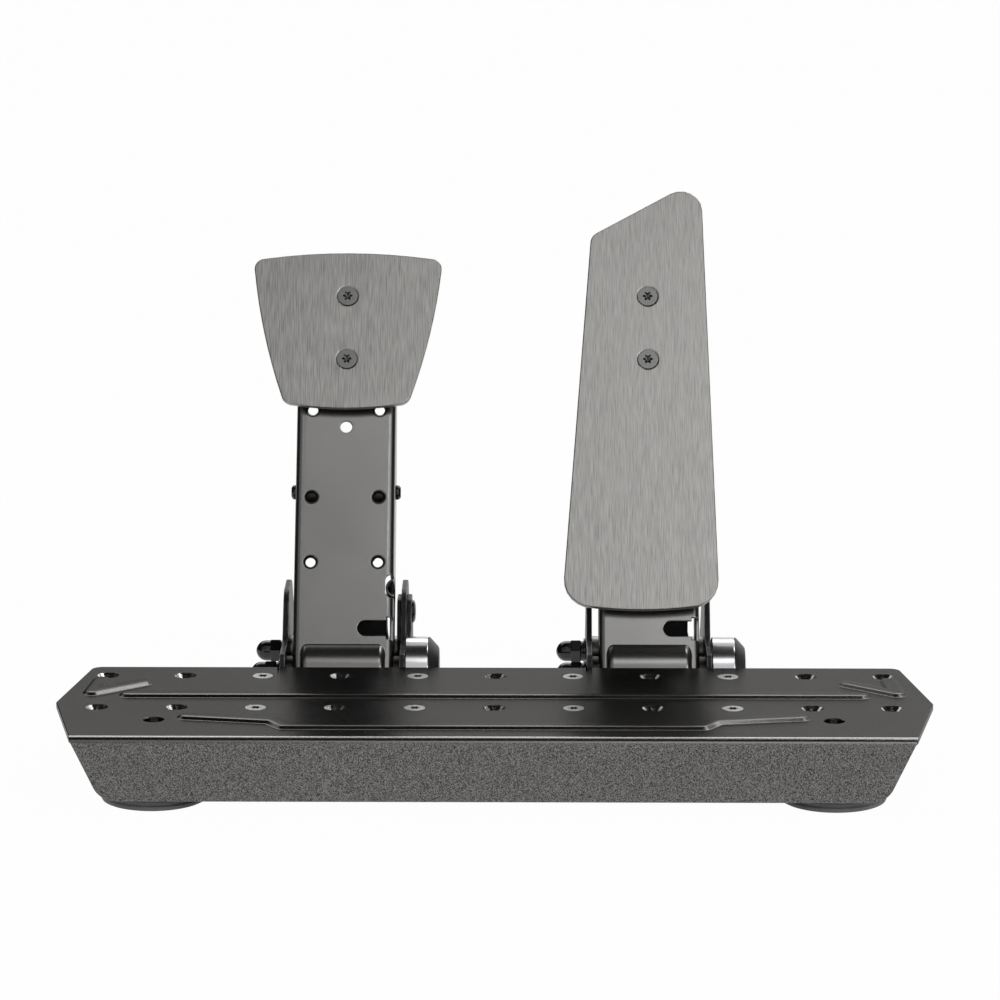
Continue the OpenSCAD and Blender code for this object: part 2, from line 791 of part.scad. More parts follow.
spacer_d = 14;
module rear_spacer(end) difference() {
    bar_x(block_w / 2 + side_play, end, spacer_d);
    bar_x(0, frame_w, pin_d + 2 * fit);
}
module rear_spacers() color(zinc) for (side = [BRAKE, THROTTLE])
    at_pedal(side) translate([0, rear_pin_y, -pivot_drop]) {
        mirror([1, 0, 0]) rear_spacer(wall_in);
        rear_spacer(wall_in - (side == BRAKE ? inner_plate_t : 0));
    }

// Plates on both sides of the brake frame's right wall

side_plate_t = 2.2;
inner_plate_t = 2;
side_plate_gap = 1;
side_plate_round = 10;
side_screw_y = rear_pin_y - 8;
side_screw_rise = 21;
side_screw_z = side_screw_rise - pivot_drop;
side_tip = 7;
side_shoulder_z = 4;
side_corner_r = 5;

module side_plate_plan() polygon(outline([
    [sensor_d / 2 + pivot_y + side_plate_gap, -pivot_drop - side_plate_round, side_corner_r / 2],
    [rear_pin_y + side_plate_round, -pivot_drop - side_plate_round, side_corner_r],
    [rear_pin_y + side_plate_round, side_shoulder_z, side_corner_r],
    [side_screw_y + side_tip, side_screw_z + side_tip, side_corner_r],
    [side_screw_y - side_tip, side_screw_z + side_tip, side_corner_r],
    [sensor_d / 2 + pivot_y + side_plate_gap, side_shoulder_z, side_corner_r]
]));

module side_plate(from, t) color(gloss_black) at_pedal(BRAKE) difference() {
    along_x(from, from + t) side_plate_plan();
    translate([0, rear_pin_y, -pivot_drop]) bar_x(0, frame_w, pin_d + 2 * fit);
    translate([0, side_screw_y, side_screw_z]) bar_x(0, frame_w, pin_d + 2 * fit);
}
module brake_side_plate() side_plate(frame_w / 2, side_plate_t);
module brake_inner_plate() side_plate(wall_in - inner_plate_t, inner_plate_t);

button_d = 10.4;
button_top_d = 7.4;
button_h = 1.7;
module brake_side_screw() color(gloss_black) at_pedal(BRAKE)
    translate([frame_w / 2 + side_plate_t, side_screw_y, side_screw_z]) rotate([0, 90, 0])
        difference() {
            shank = side_plate_t + frame_t + inner_plate_t;
            union() {
                cylinder(h = button_h / 2, d = button_d);
                translate([0, 0, button_h / 2]) cylinder(h = button_h / 2, d1 = button_d, d2 = button_top_d);
                translate([0, 0, -shank]) cylinder(h = shank + 0.4, d = pin_d);
            }
            translate([0, 0, button_h / 4]) cylinder(h = button_h, d = pin_recess_d, $fn = 6);
        }

// Position sensors on the right end of each pivot shaft

sensor_base_t = 2;
sensor_wall = 2.6;
board_t = 1.6;
cap_end_d = 23.2;
cap_spigot = 1.2;
cap_rim = 2;
cap_floor = 1.6;
chip_w = 5;
chip_t = 1.2;
sensor_screw_head = [4.8, 1.6];
board_x = frame_w / 2 + sensor_l - cap_spigot - board_t;
cavity_d = sensor_d - 2 * sensor_wall;

module at_sensor(side) at_pedal(side) translate([0, pivot_y, -pivot_drop]) children();

module at_sensor_screws() for (a = [90, 210, 330]) rotate([a, 0, 0])
    translate([0, sensor_screw_r, 0]) children();

module sensor_housing(side) color(zinc) at_sensor(side) difference() {
    x = frame_w / 2;
    bar_x(x, x + sensor_l, sensor_d);
    bar_x(x - 1, x + sensor_l, bush_d);
    bar_x(x + sensor_base_t, board_x, cavity_d - 2);
    bar_x(board_x, x + sensor_l + 1, cavity_d);
    at_sensor_screws() bar_x(x - 1, x + sensor_l, m3_shank_d + 2 * fit);
}
module brake_sensor_housing() sensor_housing(BRAKE);
module throttle_sensor_housing() sensor_housing(THROTTLE);

module sensor_cap(side) color(moulded_black) at_sensor(side) rotate([0, 90, 0]) difference() {
    x = frame_w / 2 + sensor_l;
    union() {
        translate([0, 0, x]) cylinder(h = sensor_cap_l, d1 = sensor_d, d2 = cap_end_d);
        translate([0, 0, x - cap_spigot]) cylinder(h = cap_spigot + 0.5, d = cavity_d - 2 * fit);
    }
    translate([0, 0, x - cap_spigot - 1])
        cylinder(h = sensor_cap_l + cap_spigot + 1 - cap_floor, d = cap_end_d - 2 * cap_rim);
}
module brake_sensor_cap() sensor_cap(BRAKE);
module throttle_sensor_cap() sensor_cap(THROTTLE);

module sensor_boards() color(board_green) for (side = [BRAKE, THROTTLE]) at_sensor(side) {
    bar_x(board_x, board_x + board_t, cavity_d - 2 * fit);
    translate([board_x + board_t - 0.2, -chip_w / 2, -chip_w / 2]) cube([chip_t, chip_w, chip_w]);
}

module sensor_screws() color(zinc) for (side = [BRAKE, THROTTLE]) at_sensor(side)
    at_sensor_screws() translate([frame_w / 2 + sensor_base_t, 0, 0]) rotate([0, 90, 0])
        pan_screw(sensor_base_t + frame_t - 0.1, sensor_screw_head[0], sensor_screw_head[1], m3_shank_d);

// Arms

// Side of an arm: y behind the pivot, z up the arm
arm_waist_l = 30;
arm_deep_l = strut_pin_l + 12;
arm_shallow_l = strut_pin_l + 60;
arm_top_back = 2;
arm_edge_r = 30;
module arm_side_plan() {
    polygon(outline([
        [-arm_front, 0, 0],
        [0, 0, 0],
        [bulge_r * cos(30), bulge_r * sin(30), 0],
        [arm_back, arm_waist_l, arm_edge_r * 2 / 3],
        [arm_back, arm_deep_l, arm_edge_r],
        [arm_top_back, arm_shallow_l, arm_edge_r],
        [arm_top_back, arm_top, arm_bend_r],
        [-arm_front, arm_top, 0]
    ]));
    circle(bulge_r);
}

module arm_sides_and_face() {
    w = arm_w / 2;
    r = arm_bend_r;
    depth = arm_front + bulge_r + 1;
    difference() {
        union() {
            translate([r - w, -arm_front]) square([arm_w - 2 * r, depth]);
            translate([-w, r - arm_front]) square([arm_w, depth - r]);
            for (s = [-1, 1]) translate([s * (w - r), r - arm_front]) circle(r);
        }
        union() {
            translate([r - w, arm_t - arm_front]) square([arm_w - 2 * r, depth]);
            translate([arm_t - w, r - arm_front]) square([arm_w - 2 * arm_t, depth]);
            for (s = [-1, 1]) translate([s * (w - r), r - arm_front]) circle(r - arm_t);
        }
    }
}

// Drum along X with rounded rims
module drum(r, w, rim) rotate([0, 90, 0]) rotate_extrude() polygon(outline([
    [0, -w / 2, 0], [r, -w / 2, rim], [r, w / 2, rim], [0, w / 2, 0]
]));

module bulge_shell() intersection() {
    drum(bulge_r, bulge_w, 3);
    translate([-arm_w / 2, -bulge_r - 1, -bulge_r])
        cube([arm_w, bulge_r + 2 - arm_front + arm_t - 0.6, 2 * bulge_r]);
}

module bead_tube(r) translate([arm_w / 2 + 0.6, 0, bead_l]) rotate([90, 0, 0])
    cylinder(h = 2 * arm_front, r = r, center = true);

module arm_windows() {
    // Slot that runs into the window in the right bend
    translate([slot_x + slot_w / 2, 0, slot_l]) rotate([90, 0, 0])
        cylinder(h = arm_front + 1, d = slot_w);
    translate([slot_x + slot_w / 2, -arm_front - 1, slot_l - slot_w / 2])
        cube([arm_w / 2 - slot_x - slot_w / 2 - 2, 4, slot_w]);
    translate([arm_w / 2 - arm_bend_r - 0.4, -arm_front - 1, slot_l - corner_window / 2])
        cube([arm_bend_r + 2, 6, corner_window]);
    // Window over the bead
    for (z = [-1, 1]) translate([arm_w / 2 - 1, 0, bead_l + z * (bead_window / 2 - 3)])
        rotate([90, 0, 0]) cylinder(h = arm_front + 1, r = 3);
    translate([arm_w / 2 - 4, -arm_front - 1, bead_l - bead_window / 2 + 3])
        cube([5, 5, bead_window - 6]);
}

module arm(side) color(arm_grey) on_arm(side) difference() {
    union() {
        difference() {
            union() {
                intersection() {
                    translate([0, 0, -bulge_r - 1]) linear_extrude(arm_top + bulge_r + 2)
                        arm_sides_and_face();
                    along_x(-arm_w / 2, arm_w / 2) arm_side_plan();
                }
                bulge_shell();
            }
            drum(bulge_r - arm_t, bulge_w - 2 * arm_t, 1.2);
            arm_windows();
            bead_tube(bead_r + arm_t - 0.6);
        }
        intersection() {
            difference() {
                bead_tube(bead_r + arm_t - 0.5);
                bead_tube(bead_r);
            }
            translate([0, 3 - arm_front, bead_l - bead_window])
                cube([arm_w / 2, arm_front + 5, 2 * bead_window]);
        }
    }
    for (l = face_hole_l) translate([0, 0, l]) rotate([90, 0, 0])
        cylinder(h = arm_front + 1, d = m5_hole);
    for (s = [-1, 1], l = side_hole_l) translate([s * side_hole_x, 0, l]) rotate([90, 0, 0])
        cylinder(h = arm_front + 1, d = side_hole_d);
    translate([0, 0, strut_pin_l]) bar_x(-arm_w, arm_w, pin_d + 2 * fit);
    bar_x(-arm_w, arm_w, shaft_d + 2 * fit);
}
module brake_arm() arm(BRAKE);
module throttle_arm() arm(THROTTLE);

module cross_tube(side) color(steel) on_arm(side) difference() {
    half = arm_w / 2 - arm_t;
    bar_x(-half, half, cross_tube_d);
    bar_x(-arm_w, arm_w, shaft_d + 2 * fit);
}
module brake_cross_tube() cross_tube(BRAKE);
module throttle_cross_tube() cross_tube(THROTTLE);

shoulder_out = 0.1;
shaft_end = frame_w / 2 + 4.5;
module shaft(side) color(steel) on_arm(side) {
    left = -frame_w / 2 - shoulder_out;
    bar_x(left, shaft_end, shaft_d);
    bar_x(thread_end(left) + 0.4, left + 1, pin_d - 0.02);
}
module brake_shaft() shaft(BRAKE);
module throttle_shaft() shaft(THROTTLE);

module shaft_nut(side) color(gloss_black) on_arm(side)
    rotate([rest_lean, 0, 0]) acorn_stack(-frame_w / 2 - shoulder_out);
module brake_shaft_nut() shaft_nut(BRAKE);
module throttle_shaft_nut() shaft_nut(THROTTLE);

magnet_d = 6;
magnet_l = 2;
module magnet(side) color(zinc) on_arm(side) bar_x(shaft_end, shaft_end + magnet_l, magnet_d);
module brake_magnet() magnet(BRAKE);
module throttle_magnet() magnet(THROTTLE);

// Faces

// Sheet on the arm's front, between two distances ahead of the pivot
module ahead(from, to) translate([0, -from, 0]) rotate([90, 0, 0])
    linear_extrude(to - from) children();

module face(side, plan) color(brushed) on_arm(side) difference() {
    ahead(face_back, face_front) polygon(outline(plan));
    for (l = face_screw_l) translate([0, -face_back, l]) rotate([90, 0, 0]) sunk_hole(face_t);
}
module brake_face() face(BRAKE, brake_plan);
module throttle_face() face(THROTTLE, throttle_plan);

face_spacer_d = 12;
module face_spacers(side) color(frame_black) on_arm(side) for (l = face_screw_l)
    translate([0, -arm_front, l]) rotate([90, 0, 0]) difference() {
        cylinder(h = face_gap, d = face_spacer_d);
        translate([0, 0, -0.5]) cylinder(h = face_gap + 1, d = m5_hole);
    }
module brake_face_spacers() face_spacers(BRAKE);
module throttle_face_spacers() face_spacers(THROTTLE);

// Countersunk screws with the nuts inside the arm
module face_screws(side) color(zinc) on_arm(side) for (l = face_screw_l)
    translate([0, -face_front, l]) rotate([90, 0, 0]) {
        stack = face_t + face_gap + arm_t;
        sunk_screw(stack + m5_nut_t + m5_past_nut);
        translate([0, 0, -stack - m5_nut_t]) hex_nut(m5_nut_flats, m5_nut_t, m5_shank_d + 2 * fit);
    }
module brake_face_screws() face_screws(BRAKE);
module throttle_face_screws() face_screws(THROTTLE);

// Struts

// Pin with a chamfered head on each side of the arm
pin_out = 2.4;
pin_lip = 0.8;
pin_chamfer = 1;
module strut_pin(side) color(steel) on_arm(side) translate([0, 0, strut_pin_l]) {
    half = arm_w / 2;
    bar_x(-half - 1, half + 1, pin_d - 2 * run_play);
    both_ends() translate([half, 0, 0]) rotate([0, 90, 0]) {
        cylinder(h = pin_out - pin_chamfer, d = pin_d + pin_lip);
        translate([0, 0, pin_out - pin_chamfer])
            cylinder(h = pin_chamfer, d1 = pin_d + pin_lip, d2 = pin_d + pin_lip - 2 * pin_chamfer);
    }
}
module brake_strut_pin() strut_pin(BRAKE);
module throttle_strut_pin() strut_pin(THROTTLE);

// Moulded block round a pin at the origin, with shoulders and its spring seat at z = seat
module block(seat, shoulder_w, shoulder_h) {
    difference() {
        union() {
            bar_x(-block_w / 2, block_w / 2, 2 * block_r);
            translate([-shoulder_w / 2, 1 - block_r, 0])
                cube([shoulder_w, 2 * block_r - 2, shoulder_h]);
            translate([0, 0, seat - collar_t]) cylinder(h = collar_t, d = collar_d);
        }
        bar_x(-block_w, block_w, pin_d + 2 * run_play - 0.02);
    }
}

socket_depth = 3.4;
foot_shoulder_in = 1;
head_shoulder_in = 6;
shoulder_drop = 1;

module strut_foot(side) color(moulded_black) on_strut(side) difference() {
    block(low_seat, block_w - foot_shoulder_in, low_seat - shoulder_drop);
    translate([0, 0, low_seat - socket_depth]) cylinder(h = socket_depth + 1, d = sleeve_d + 2 * fit);
}
module brake_strut_foot() strut_foot(BRAKE);
module throttle_strut_foot() strut_foot(THROTTLE);

module strut_head(side) color(moulded_black) on_strut(side) translate([0, 0, strut_l])
    mirror([0, 0, 1]) difference() {
        union() {
            block(high_seat, block_w - head_shoulder_in, high_seat - collar_t + shoulder_drop / 2);
            both_ends() difference() {
                bar_x(block_w / 2 - 0.5, arm_w / 2 - arm_t - side_play, pin_d + 5);
                bar_x(0, arm_w, pin_d + 2 * run_play - 0.02);
            }
        }
        translate([0, 0, high_seat - socket_depth]) cylinder(h = socket_depth + 1, d = rod_d + 2 * fit);
    }
module brake_strut_head() strut_head(BRAKE);
module throttle_strut_head() strut_head(THROTTLE);

lip_t = 3;
stop_gap = 0.3;
plunger_collar_t = 4;

module sleeve(side) color(gloss_black) on_strut(side) difference() {
    from = low_seat - socket_depth;
    translate([0, 0, from]) cylinder(h = sleeve_top - from, d = sleeve_d);
    translate([0, 0, from + 1.2]) cylinder(h = sleeve_top - lip_t - from - 1.2, d = sleeve_bore);
    translate([0, 0, from + 2]) cylinder(h = sleeve_top, d = rod_d + 2 * guide_play);
}
module brake_sleeve() sleeve(BRAKE);
module throttle_sleeve() sleeve(THROTTLE);

module plunger(side) color(steel) on_strut(side) {
    collar_top = sleeve_top - lip_t - stop_gap;
    top = high_seat_s + socket_depth;
    translate([0, 0, collar_top - plunger_collar_t])
        cylinder(h = top - collar_top + plunger_collar_t, d = rod_d);
    translate([0, 0, collar_top - plunger_collar_t])
        cylinder(h = plunger_collar_t, d = sleeve_bore - 2 * guide_play);
}
module brake_plunger() plunger(BRAKE);
module throttle_plunger() plunger(THROTTLE);

// Springs: one six-sided wire swept along a helix with closed end turns

wire_sides = 6;
rings_per_turn = 12;
end_gap = 0.6;
seat_play = 0.1;

function half_flat(wire) = wire / 2 * cos(180 / wire_sides);

// Height of the wire's middle after t turns, between its two seats
function rise(t, turns, wire) =
    let (
        from = low_seat + seat_play + half_flat(wire),
        to = high_seat_s - seat_play - half_flat(wire),
        end_pitch = wire + end_gap,
        mid_pitch = (to - from - 2 * end_pitch) / (turns - 2)
    )
    t <= 1 ? from + end_pitch * t :
    t >= turns - 1 ? to - end_pitch * (turns - t) :
    from + end_pitch + mid_pitch * (t - 1);

function wire_ring(i, turns, wire) =
    let (
        t = i / rings_per_turn,
        a = 360 * t,
        coil_r = (spring_d - wire) / 2,
        z = rise(t, turns, wire)
    )
    [for (k = [0:wire_sides - 1])
        let (b = 360 * k / wire_sides, r = coil_r + wire / 2 * cos(b))
        [r * cos(a), r * sin(a), z + wire / 2 * sin(b)]];

function wire_rings(turns, wire) =
    [for (i = [0:turns * rings_per_turn]) wire_ring(i, turns, wire)];

// Least distance between points of the wire that lie more than half a turn apart
function least_gap(rings) = min([
    for (i = [0:len(rings) - 1], j = [i + rings_per_turn / 2 + 1:1:len(rings) - 1])
        if (j <= i + 1.5 * rings_per_turn)
            for (p = rings[i], q = rings[j]) norm(p - q)
]);

module wire_tube(rings) {
    n = wire_sides;
    last = (len(rings) - 1) * n;
    sides = [for (i = [0:len(rings) - 2], k = [0:n - 1])
        let (a = i * n + k, b = i * n + (k + 1) % n)
        each [[a, a + n, b + n], [a, b + n, b]]];
    start_cap = [for (k = [1:n - 2]) [0, k, k + 1]];
    end_cap = [for (k = [1:n - 2]) [last, last + k + 1, last + k]];
    polyhedron(
        points = [for (ring = rings) each ring],
        faces = concat(sides, start_cap, end_cap),
        convexity = 6
    );
}

module spring(side, turns, wire) color(gloss_black) on_strut(side)
    wire_tube(wire_rings(turns, wire));
module brake_spring() spring(BRAKE, brake_turns, brake_wire);
module throttle_spring() spring(THROTTLE, throttle_turns, throttle_wire);

// Control box under the heel plate

pad_t = 1;
pad_in = 3;
lid_t = 2;
boss_in = 4;
boss_d = 7;
box_screw_in = 6;
box_top = under_z - pad_t;
box_low = box_top - box_h;
socket_w = 14;
socket_h = 12;
socket_in = 12;
plug_w = 10;
plug_h = 8;

module at_box_screws() for (sx = [-1, 1], sy = [0, 1])
    translate([
        sx * (box_w / 2 - boss_in),
        box_y + boss_in + sy * (box_l - 2 * boss_in),
        0
    ]) children();

module box_pad() color(moulded_black) stood()
    translate([-box_w / 2 + pad_in, box_y + pad_in, box_top])
        cube([box_w - 2 * pad_in, box_l - 2 * pad_in, pad_t]);

module box_case() color(moulded_black) stood() {
    z = box_low + lid_t;
    h = box_h - lid_t;
    difference() {
        translate([-box_w / 2, box_y, z]) cube([box_w, box_l, h]);
        translate([-box_w / 2 + box_wall, box_y + box_wall, z - 1])
            cube([box_w - 2 * box_wall, box_l - 2 * box_wall, h - box_wall + 1]);
        translate([-socket_w / 2 - fit, box_y + box_l - box_wall - 1, z - 1])
            cube([socket_w + 2 * fit, box_wall + 2, socket_h + 1 + fit]);
    }
    difference() {
        intersection() {
            at_box_screws() translate([0, 0, z]) cylinder(h = h - 1, d = boss_d);
            translate([-box_w / 2, box_y, z]) cube([box_w, box_l, h]);
        }
        at_box_screws() translate([0, 0, z - 1])
            cylinder(h = box_screw_in + 3, d = m3_shank_d + 2 * fit);
    }
}

module box_lid() color(moulded_black) stood() difference() {
    translate([-box_w / 2, box_y, box_low]) cube([box_w, box_l, lid_t]);
    at_box_screws() translate([0, 0, box_low - 1]) cylinder(h = lid_t + 2, d = m3_shank_d + 0.4);
}

module box_board() color(board_green) stood()
    translate([-box_w / 2 + box_wall + boss_d, box_y + box_wall + 1, box_low + lid_t])
        cube([
            box_w - 2 * box_wall - 2 * boss_d,
            box_l - 2 * box_wall - 2 - socket_in,
            board_t
        ]);

module box_socket() color(zinc) stood() translate([0, box_y + box_l, box_low + lid_t])
    difference() {
        translate([-socket_w / 2, -socket_in, 0]) cube([socket_w, socket_in, socket_h]);
        translate([-plug_w / 2, 1 - socket_in, (socket_h - plug_h) / 2])
            cube([plug_w, socket_in, plug_h]);
    }

module box_screws() color(zinc) stood() at_box_screws() translate([0, 0, box_low])
    mirror([0, 0, 1]) pan_screw(lid_t + box_screw_in, m3_head_d, m3_head_h, m3_shank_d);

echo(brake_spring_gap = least_gap(wire_rings(brake_turns, brake_wire)));
echo(throttle_spring_gap = least_gap(wire_rings(throttle_turns, throttle_wire)));

heel_plate();
foot_bracket_left();
foot_bracket_right();
front_foot_left();
front_foot_right();
rear_foot_left();
rear_foot_right();
foot_screws();
foot_inserts();
frame_screws();
frame_nuts();
box_pad();
box_case();
box_lid();
box_board();
box_socket();
box_screws();
brake_frame();
throttle_frame();
pivot_bushes();
rear_pins();
rear_pin_nuts();
rear_spacers();
brake_side_plate();
brake_inner_plate();
brake_side_screw();
brake_sensor_housing();
throttle_sensor_housing();
brake_sensor_cap();
throttle_sensor_cap();
sensor_boards();
sensor_screws();
brake_arm();
brake_cross_tube();
brake_shaft();
brake_shaft_nut();
brake_magnet();
brake_face();
brake_face_spacers();
brake_face_screws();
brake_strut_pin();
brake_strut_head();
brake_plunger();
brake_strut_foot();
brake_sleeve();
brake_spring();
throttle_arm();
throttle_cross_tube();
throttle_shaft();
throttle_shaft_nut();
throttle_magnet();
throttle_face();
throttle_face_spacers();
throttle_face_screws();
throttle_strut_pin();
throttle_strut_head();
throttle_plunger();
throttle_strut_foot();
throttle_sleeve();
throttle_spring();
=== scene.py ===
"""Racing pedal set: a brake and a throttle on one folded heel plate."""
import math

import bpy
from mathutils import Matrix, Vector


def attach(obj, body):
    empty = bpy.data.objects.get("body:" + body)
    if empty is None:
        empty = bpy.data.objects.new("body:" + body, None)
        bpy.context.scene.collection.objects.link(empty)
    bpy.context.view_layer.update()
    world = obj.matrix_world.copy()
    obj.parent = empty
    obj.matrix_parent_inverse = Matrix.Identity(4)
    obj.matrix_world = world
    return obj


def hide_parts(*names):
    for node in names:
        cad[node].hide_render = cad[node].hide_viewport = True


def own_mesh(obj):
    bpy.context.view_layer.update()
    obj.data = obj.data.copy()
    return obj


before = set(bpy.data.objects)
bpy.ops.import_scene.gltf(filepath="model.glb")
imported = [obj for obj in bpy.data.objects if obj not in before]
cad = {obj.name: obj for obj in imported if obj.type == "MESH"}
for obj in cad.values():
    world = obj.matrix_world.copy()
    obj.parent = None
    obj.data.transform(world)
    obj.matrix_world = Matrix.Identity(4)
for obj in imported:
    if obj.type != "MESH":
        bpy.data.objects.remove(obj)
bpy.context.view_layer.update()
scene = bpy.context.scene
scene.view_settings.view_transform = "Standard"

# Camera, floor and light: a white studio with two soft lamps in front. The cards show
# only in reflections: dark ones overhead, at the sides and low behind the set, bright
# ones high behind it and a grey one in front on the left.

CAMERA_AT = (0.020, -2.0698, 0.5736)
CAMERA_PITCH = 12.55
CAMERA_YAW = 0.5
CAMERA_LENS = 169.2
ROOM_LIGHT = 0.42
FLOOR_GLOW = 0.98

camera_data = bpy.data.cameras.new("camera")
camera_data.lens = CAMERA_LENS
camera_data.clip_start = 0.1
camera_data.clip_end = 50
camera = bpy.data.objects.new("camera", camera_data)
scene.collection.objects.link(camera)
camera.location = CAMERA_AT
camera.rotation_euler = (math.radians(90 - CAMERA_PITCH), 0, math.radians(CAMERA_YAW))
scene.camera = camera


def put(tree, kind, inputs=None, **settings):
    """Adds a shader node with its settings and its inputs' values."""
    node = tree.nodes.new("ShaderNode" + kind)
    for name, value in settings.items():
        setattr(node, name, value)
    for name, value in (inputs or {}).items():
        node.inputs[name].default_value = value
    return node


def wire(tree, *pairs):
    for start, end in pairs:
        tree.links.new(start, end)


def shown_ray(tree):
    """1 for the rays that look at the background: camera, glossy and transmission rays."""
    path = put(tree, "LightPath")
    glossy = put(tree, "Math", operation="MAXIMUM")
    either = put(tree, "Math", operation="MAXIMUM")
    wire(
        tree,
        (path.outputs["Is Camera Ray"], glossy.inputs[0]),
        (path.outputs["Is Glossy Ray"], glossy.inputs[1]),
        (glossy.outputs[0], either.inputs[0]),
        (path.outputs["Is Transmission Ray"], either.inputs[1]),
    )
    return either.outputs[0]


world = bpy.data.worlds.new("studio")
scene.world = world
world.use_nodes = True
tree = world.node_tree
tree.nodes.clear()
room = put(tree, "Background", {"Color": (1, 1, 1, 1), "Strength": ROOM_LIGHT})
white = put(tree, "Background", {"Color": (1, 1, 1, 1), "Strength": 1.0})
blend = put(tree, "MixShader")
out = put(tree, "OutputWorld")
wire(
    tree,
    (shown_ray(tree), blend.inputs[0]),
    (room.outputs[0], blend.inputs[1]),
    (white.outputs[0], blend.inputs[2]),
    (blend.outputs[0], out.inputs[0]),
)

bpy.ops.object.select_all(action="DESELECT")
bpy.ops.mesh.primitive_plane_add(size=30)
floor = bpy.context.object
floor.name = "floor"
floor_paint = bpy.data.materials.new("floor_paint")
floor_paint.use_nodes = True
tree = floor_paint.node_tree
tree.nodes.clear()
matt = put(tree, "BsdfDiffuse", {"Color": (0.88, 0.88, 0.88, 1)})
glow = put(tree, "Emission", {"Color": (1, 1, 1, 1), "Strength": 1.0})
share = put(tree, "Math", {1: FLOOR_GLOW}, operation="MULTIPLY")
blend = put(tree, "MixShader")
out = put(tree, "OutputMaterial")
wire(
    tree,
    (shown_ray(tree), share.inputs[0]),
    (share.outputs[0], blend.inputs[0]),
    (matt.outputs[0], blend.inputs[1]),
    (glow.outputs[0], blend.inputs[2]),
    (blend.outputs[0], out.inputs[0]),
)
floor.data.materials.append(floor_paint)


def lamp(name, at, size, watts):
    """Soft rectangular lamp that looks at the set."""
    data = bpy.data.lights.new(name, "AREA")
    data.shape = "RECTANGLE"
    data.size, data.size_y = size
    data.energy = watts
    obj = bpy.data.objects.new(name, data)
    scene.collection.objects.link(obj)
    obj.location = at
    obj.rotation_mode = "QUATERNION"
    obj.rotation_quaternion = (Vector((0, 0, 0.1)) - Vector(at)).to_track_quat("-Z", "Y")


lamp("key_right", (1.3, -1.5, 0.9), (0.6, 0.6), 6)
lamp("front_soft", (0.5, -1.3, 2.0), (1.2, 0.5), 4)


def card(name, at, size, level):
    """Card or bright panel that shows only in reflections."""
    bpy.ops.object.select_all(action="DESELECT")
    bpy.ops.mesh.primitive_plane_add(size=1)
    sheet = bpy.context.object
    sheet.name = name
    sheet.scale = (*size, 1)
    sheet.location = at
    sheet.rotation_mode = "QUATERNION"
    sheet.rotation_quaternion = (Vector((0, 0, 0.1)) - Vector(at)).to_track_quat("-Z", "Y")
    sheet.visible_camera = False
    sheet.visible_shadow = False
    sheet.visible_diffuse = False
    paint = bpy.data.materials.new(name)
    paint.use_nodes = True
    tree = paint.node_tree
    tree.nodes.clear()
    grey = put(tree, "Emission", {"Color": (1, 1, 1, 1), "Strength": level})
    out = put(tree, "OutputMaterial")
    wire(tree, (grey.outputs[0], out.inputs[0]))
    sheet.data.materials.append(paint)


card("dark_above", (0, -0.05, 1.6), (5.0, 1.35), 0.01)
card("dark_left", (-1.9, 0.0, 0.7), (2.6, 1.9), 0.02)
card("dark_right", (1.9, 0.1, 0.7), (2.5, 1.9), 0.02)
card("dark_corner", (-1.3, 1.4, 0.5), (1.7, 1.3), 0.02)
card("dark_low", (-0.62, 1.9, 0.10), (0.8, 0.4), 0.02)
card("dark_near", (-0.25, 0.25, 0.03), (0.36, 0.06), 0.02)
card("bright_high", (0.57, 0.33, 1.3), (0.4, 0.4), 6)
card("bright_strip", (0, 1.5, 1.25), (2.4, 0.5), 4)
card("grey_front", (-1.05, -1.2, 1.3), (1.9, 1.3), 0.45)

# Heel plate: one 3 mm steel sheet, laser cut, with pressed ribs and countersunk rows,
# folded down in front. It has a black textured powder coat, coarse on the flange where
# the light grazes it and smooth to the eye on top, with a painted highlight along the bend.

MM = 0.001
ROW_Y = -0.0712276
PLATE_Z = 0.035
BEND_Y = -0.1182276
HOLE_PITCH = 35
ROW_GAP = 55
PIVOT_Y = 88
REAR_PIN_Y = 128
PIN_Z = -7
FRAME_HALF = 28.5
PEDALS = (("brake", -70), ("throttle", 70))
SAME_POINT = 1e-6
MERGE = 2e-6
SIDES = 48
EDGE_ANGLE = 30
FLAT_ANGLE = 40
TURNED_ANGLE = 32


def mode(name):
    bpy.ops.object.mode_set(mode=name)


def clear_selection():
    if bpy.context.object and bpy.context.object.mode != "OBJECT":
        mode("OBJECT")
    bpy.ops.object.select_all(action="DESELECT")


def make_active(piece):
    clear_selection()
    piece.select_set(True)
    bpy.context.view_layer.objects.active = piece


def pick(piece, part, test):
    """Opens a piece for editing with only the points, edges or faces picked that pass a test."""
    make_active(piece)
    mesh = piece.data
    bpy.context.tool_settings.mesh_select_mode = (part == "VERT", part == "EDGE", part == "FACE")
    for items in (mesh.vertices, mesh.edges, mesh.polygons):
        items.foreach_set("select", [False] * len(items))
    chosen = {"VERT": mesh.vertices, "EDGE": mesh.edges, "FACE": mesh.polygons}[part]
    chosen.foreach_set("select", [bool(test(item)) for item in chosen])
    mode("EDIT")


def join(pieces):
    clear_selection()
    for piece in pieces:
        piece.select_set(True)
    bpy.context.view_layer.objects.active = pieces[0]
    if len(pieces) > 1:
        bpy.ops.object.join()
    return pieces[0]


def ease_edges(piece, width, segments=2):
    make_active(piece)
    bevel = piece.modifiers.new("edges", "BEVEL")
    bevel.width = width * MM
    bevel.segments = segments
    bevel.limit_method = "ANGLE"
    bevel.angle_limit = math.radians(EDGE_ANGLE)
    bevel.use_clamp_overlap = False
    bpy.ops.object.modifier_apply(modifier=bevel.name)


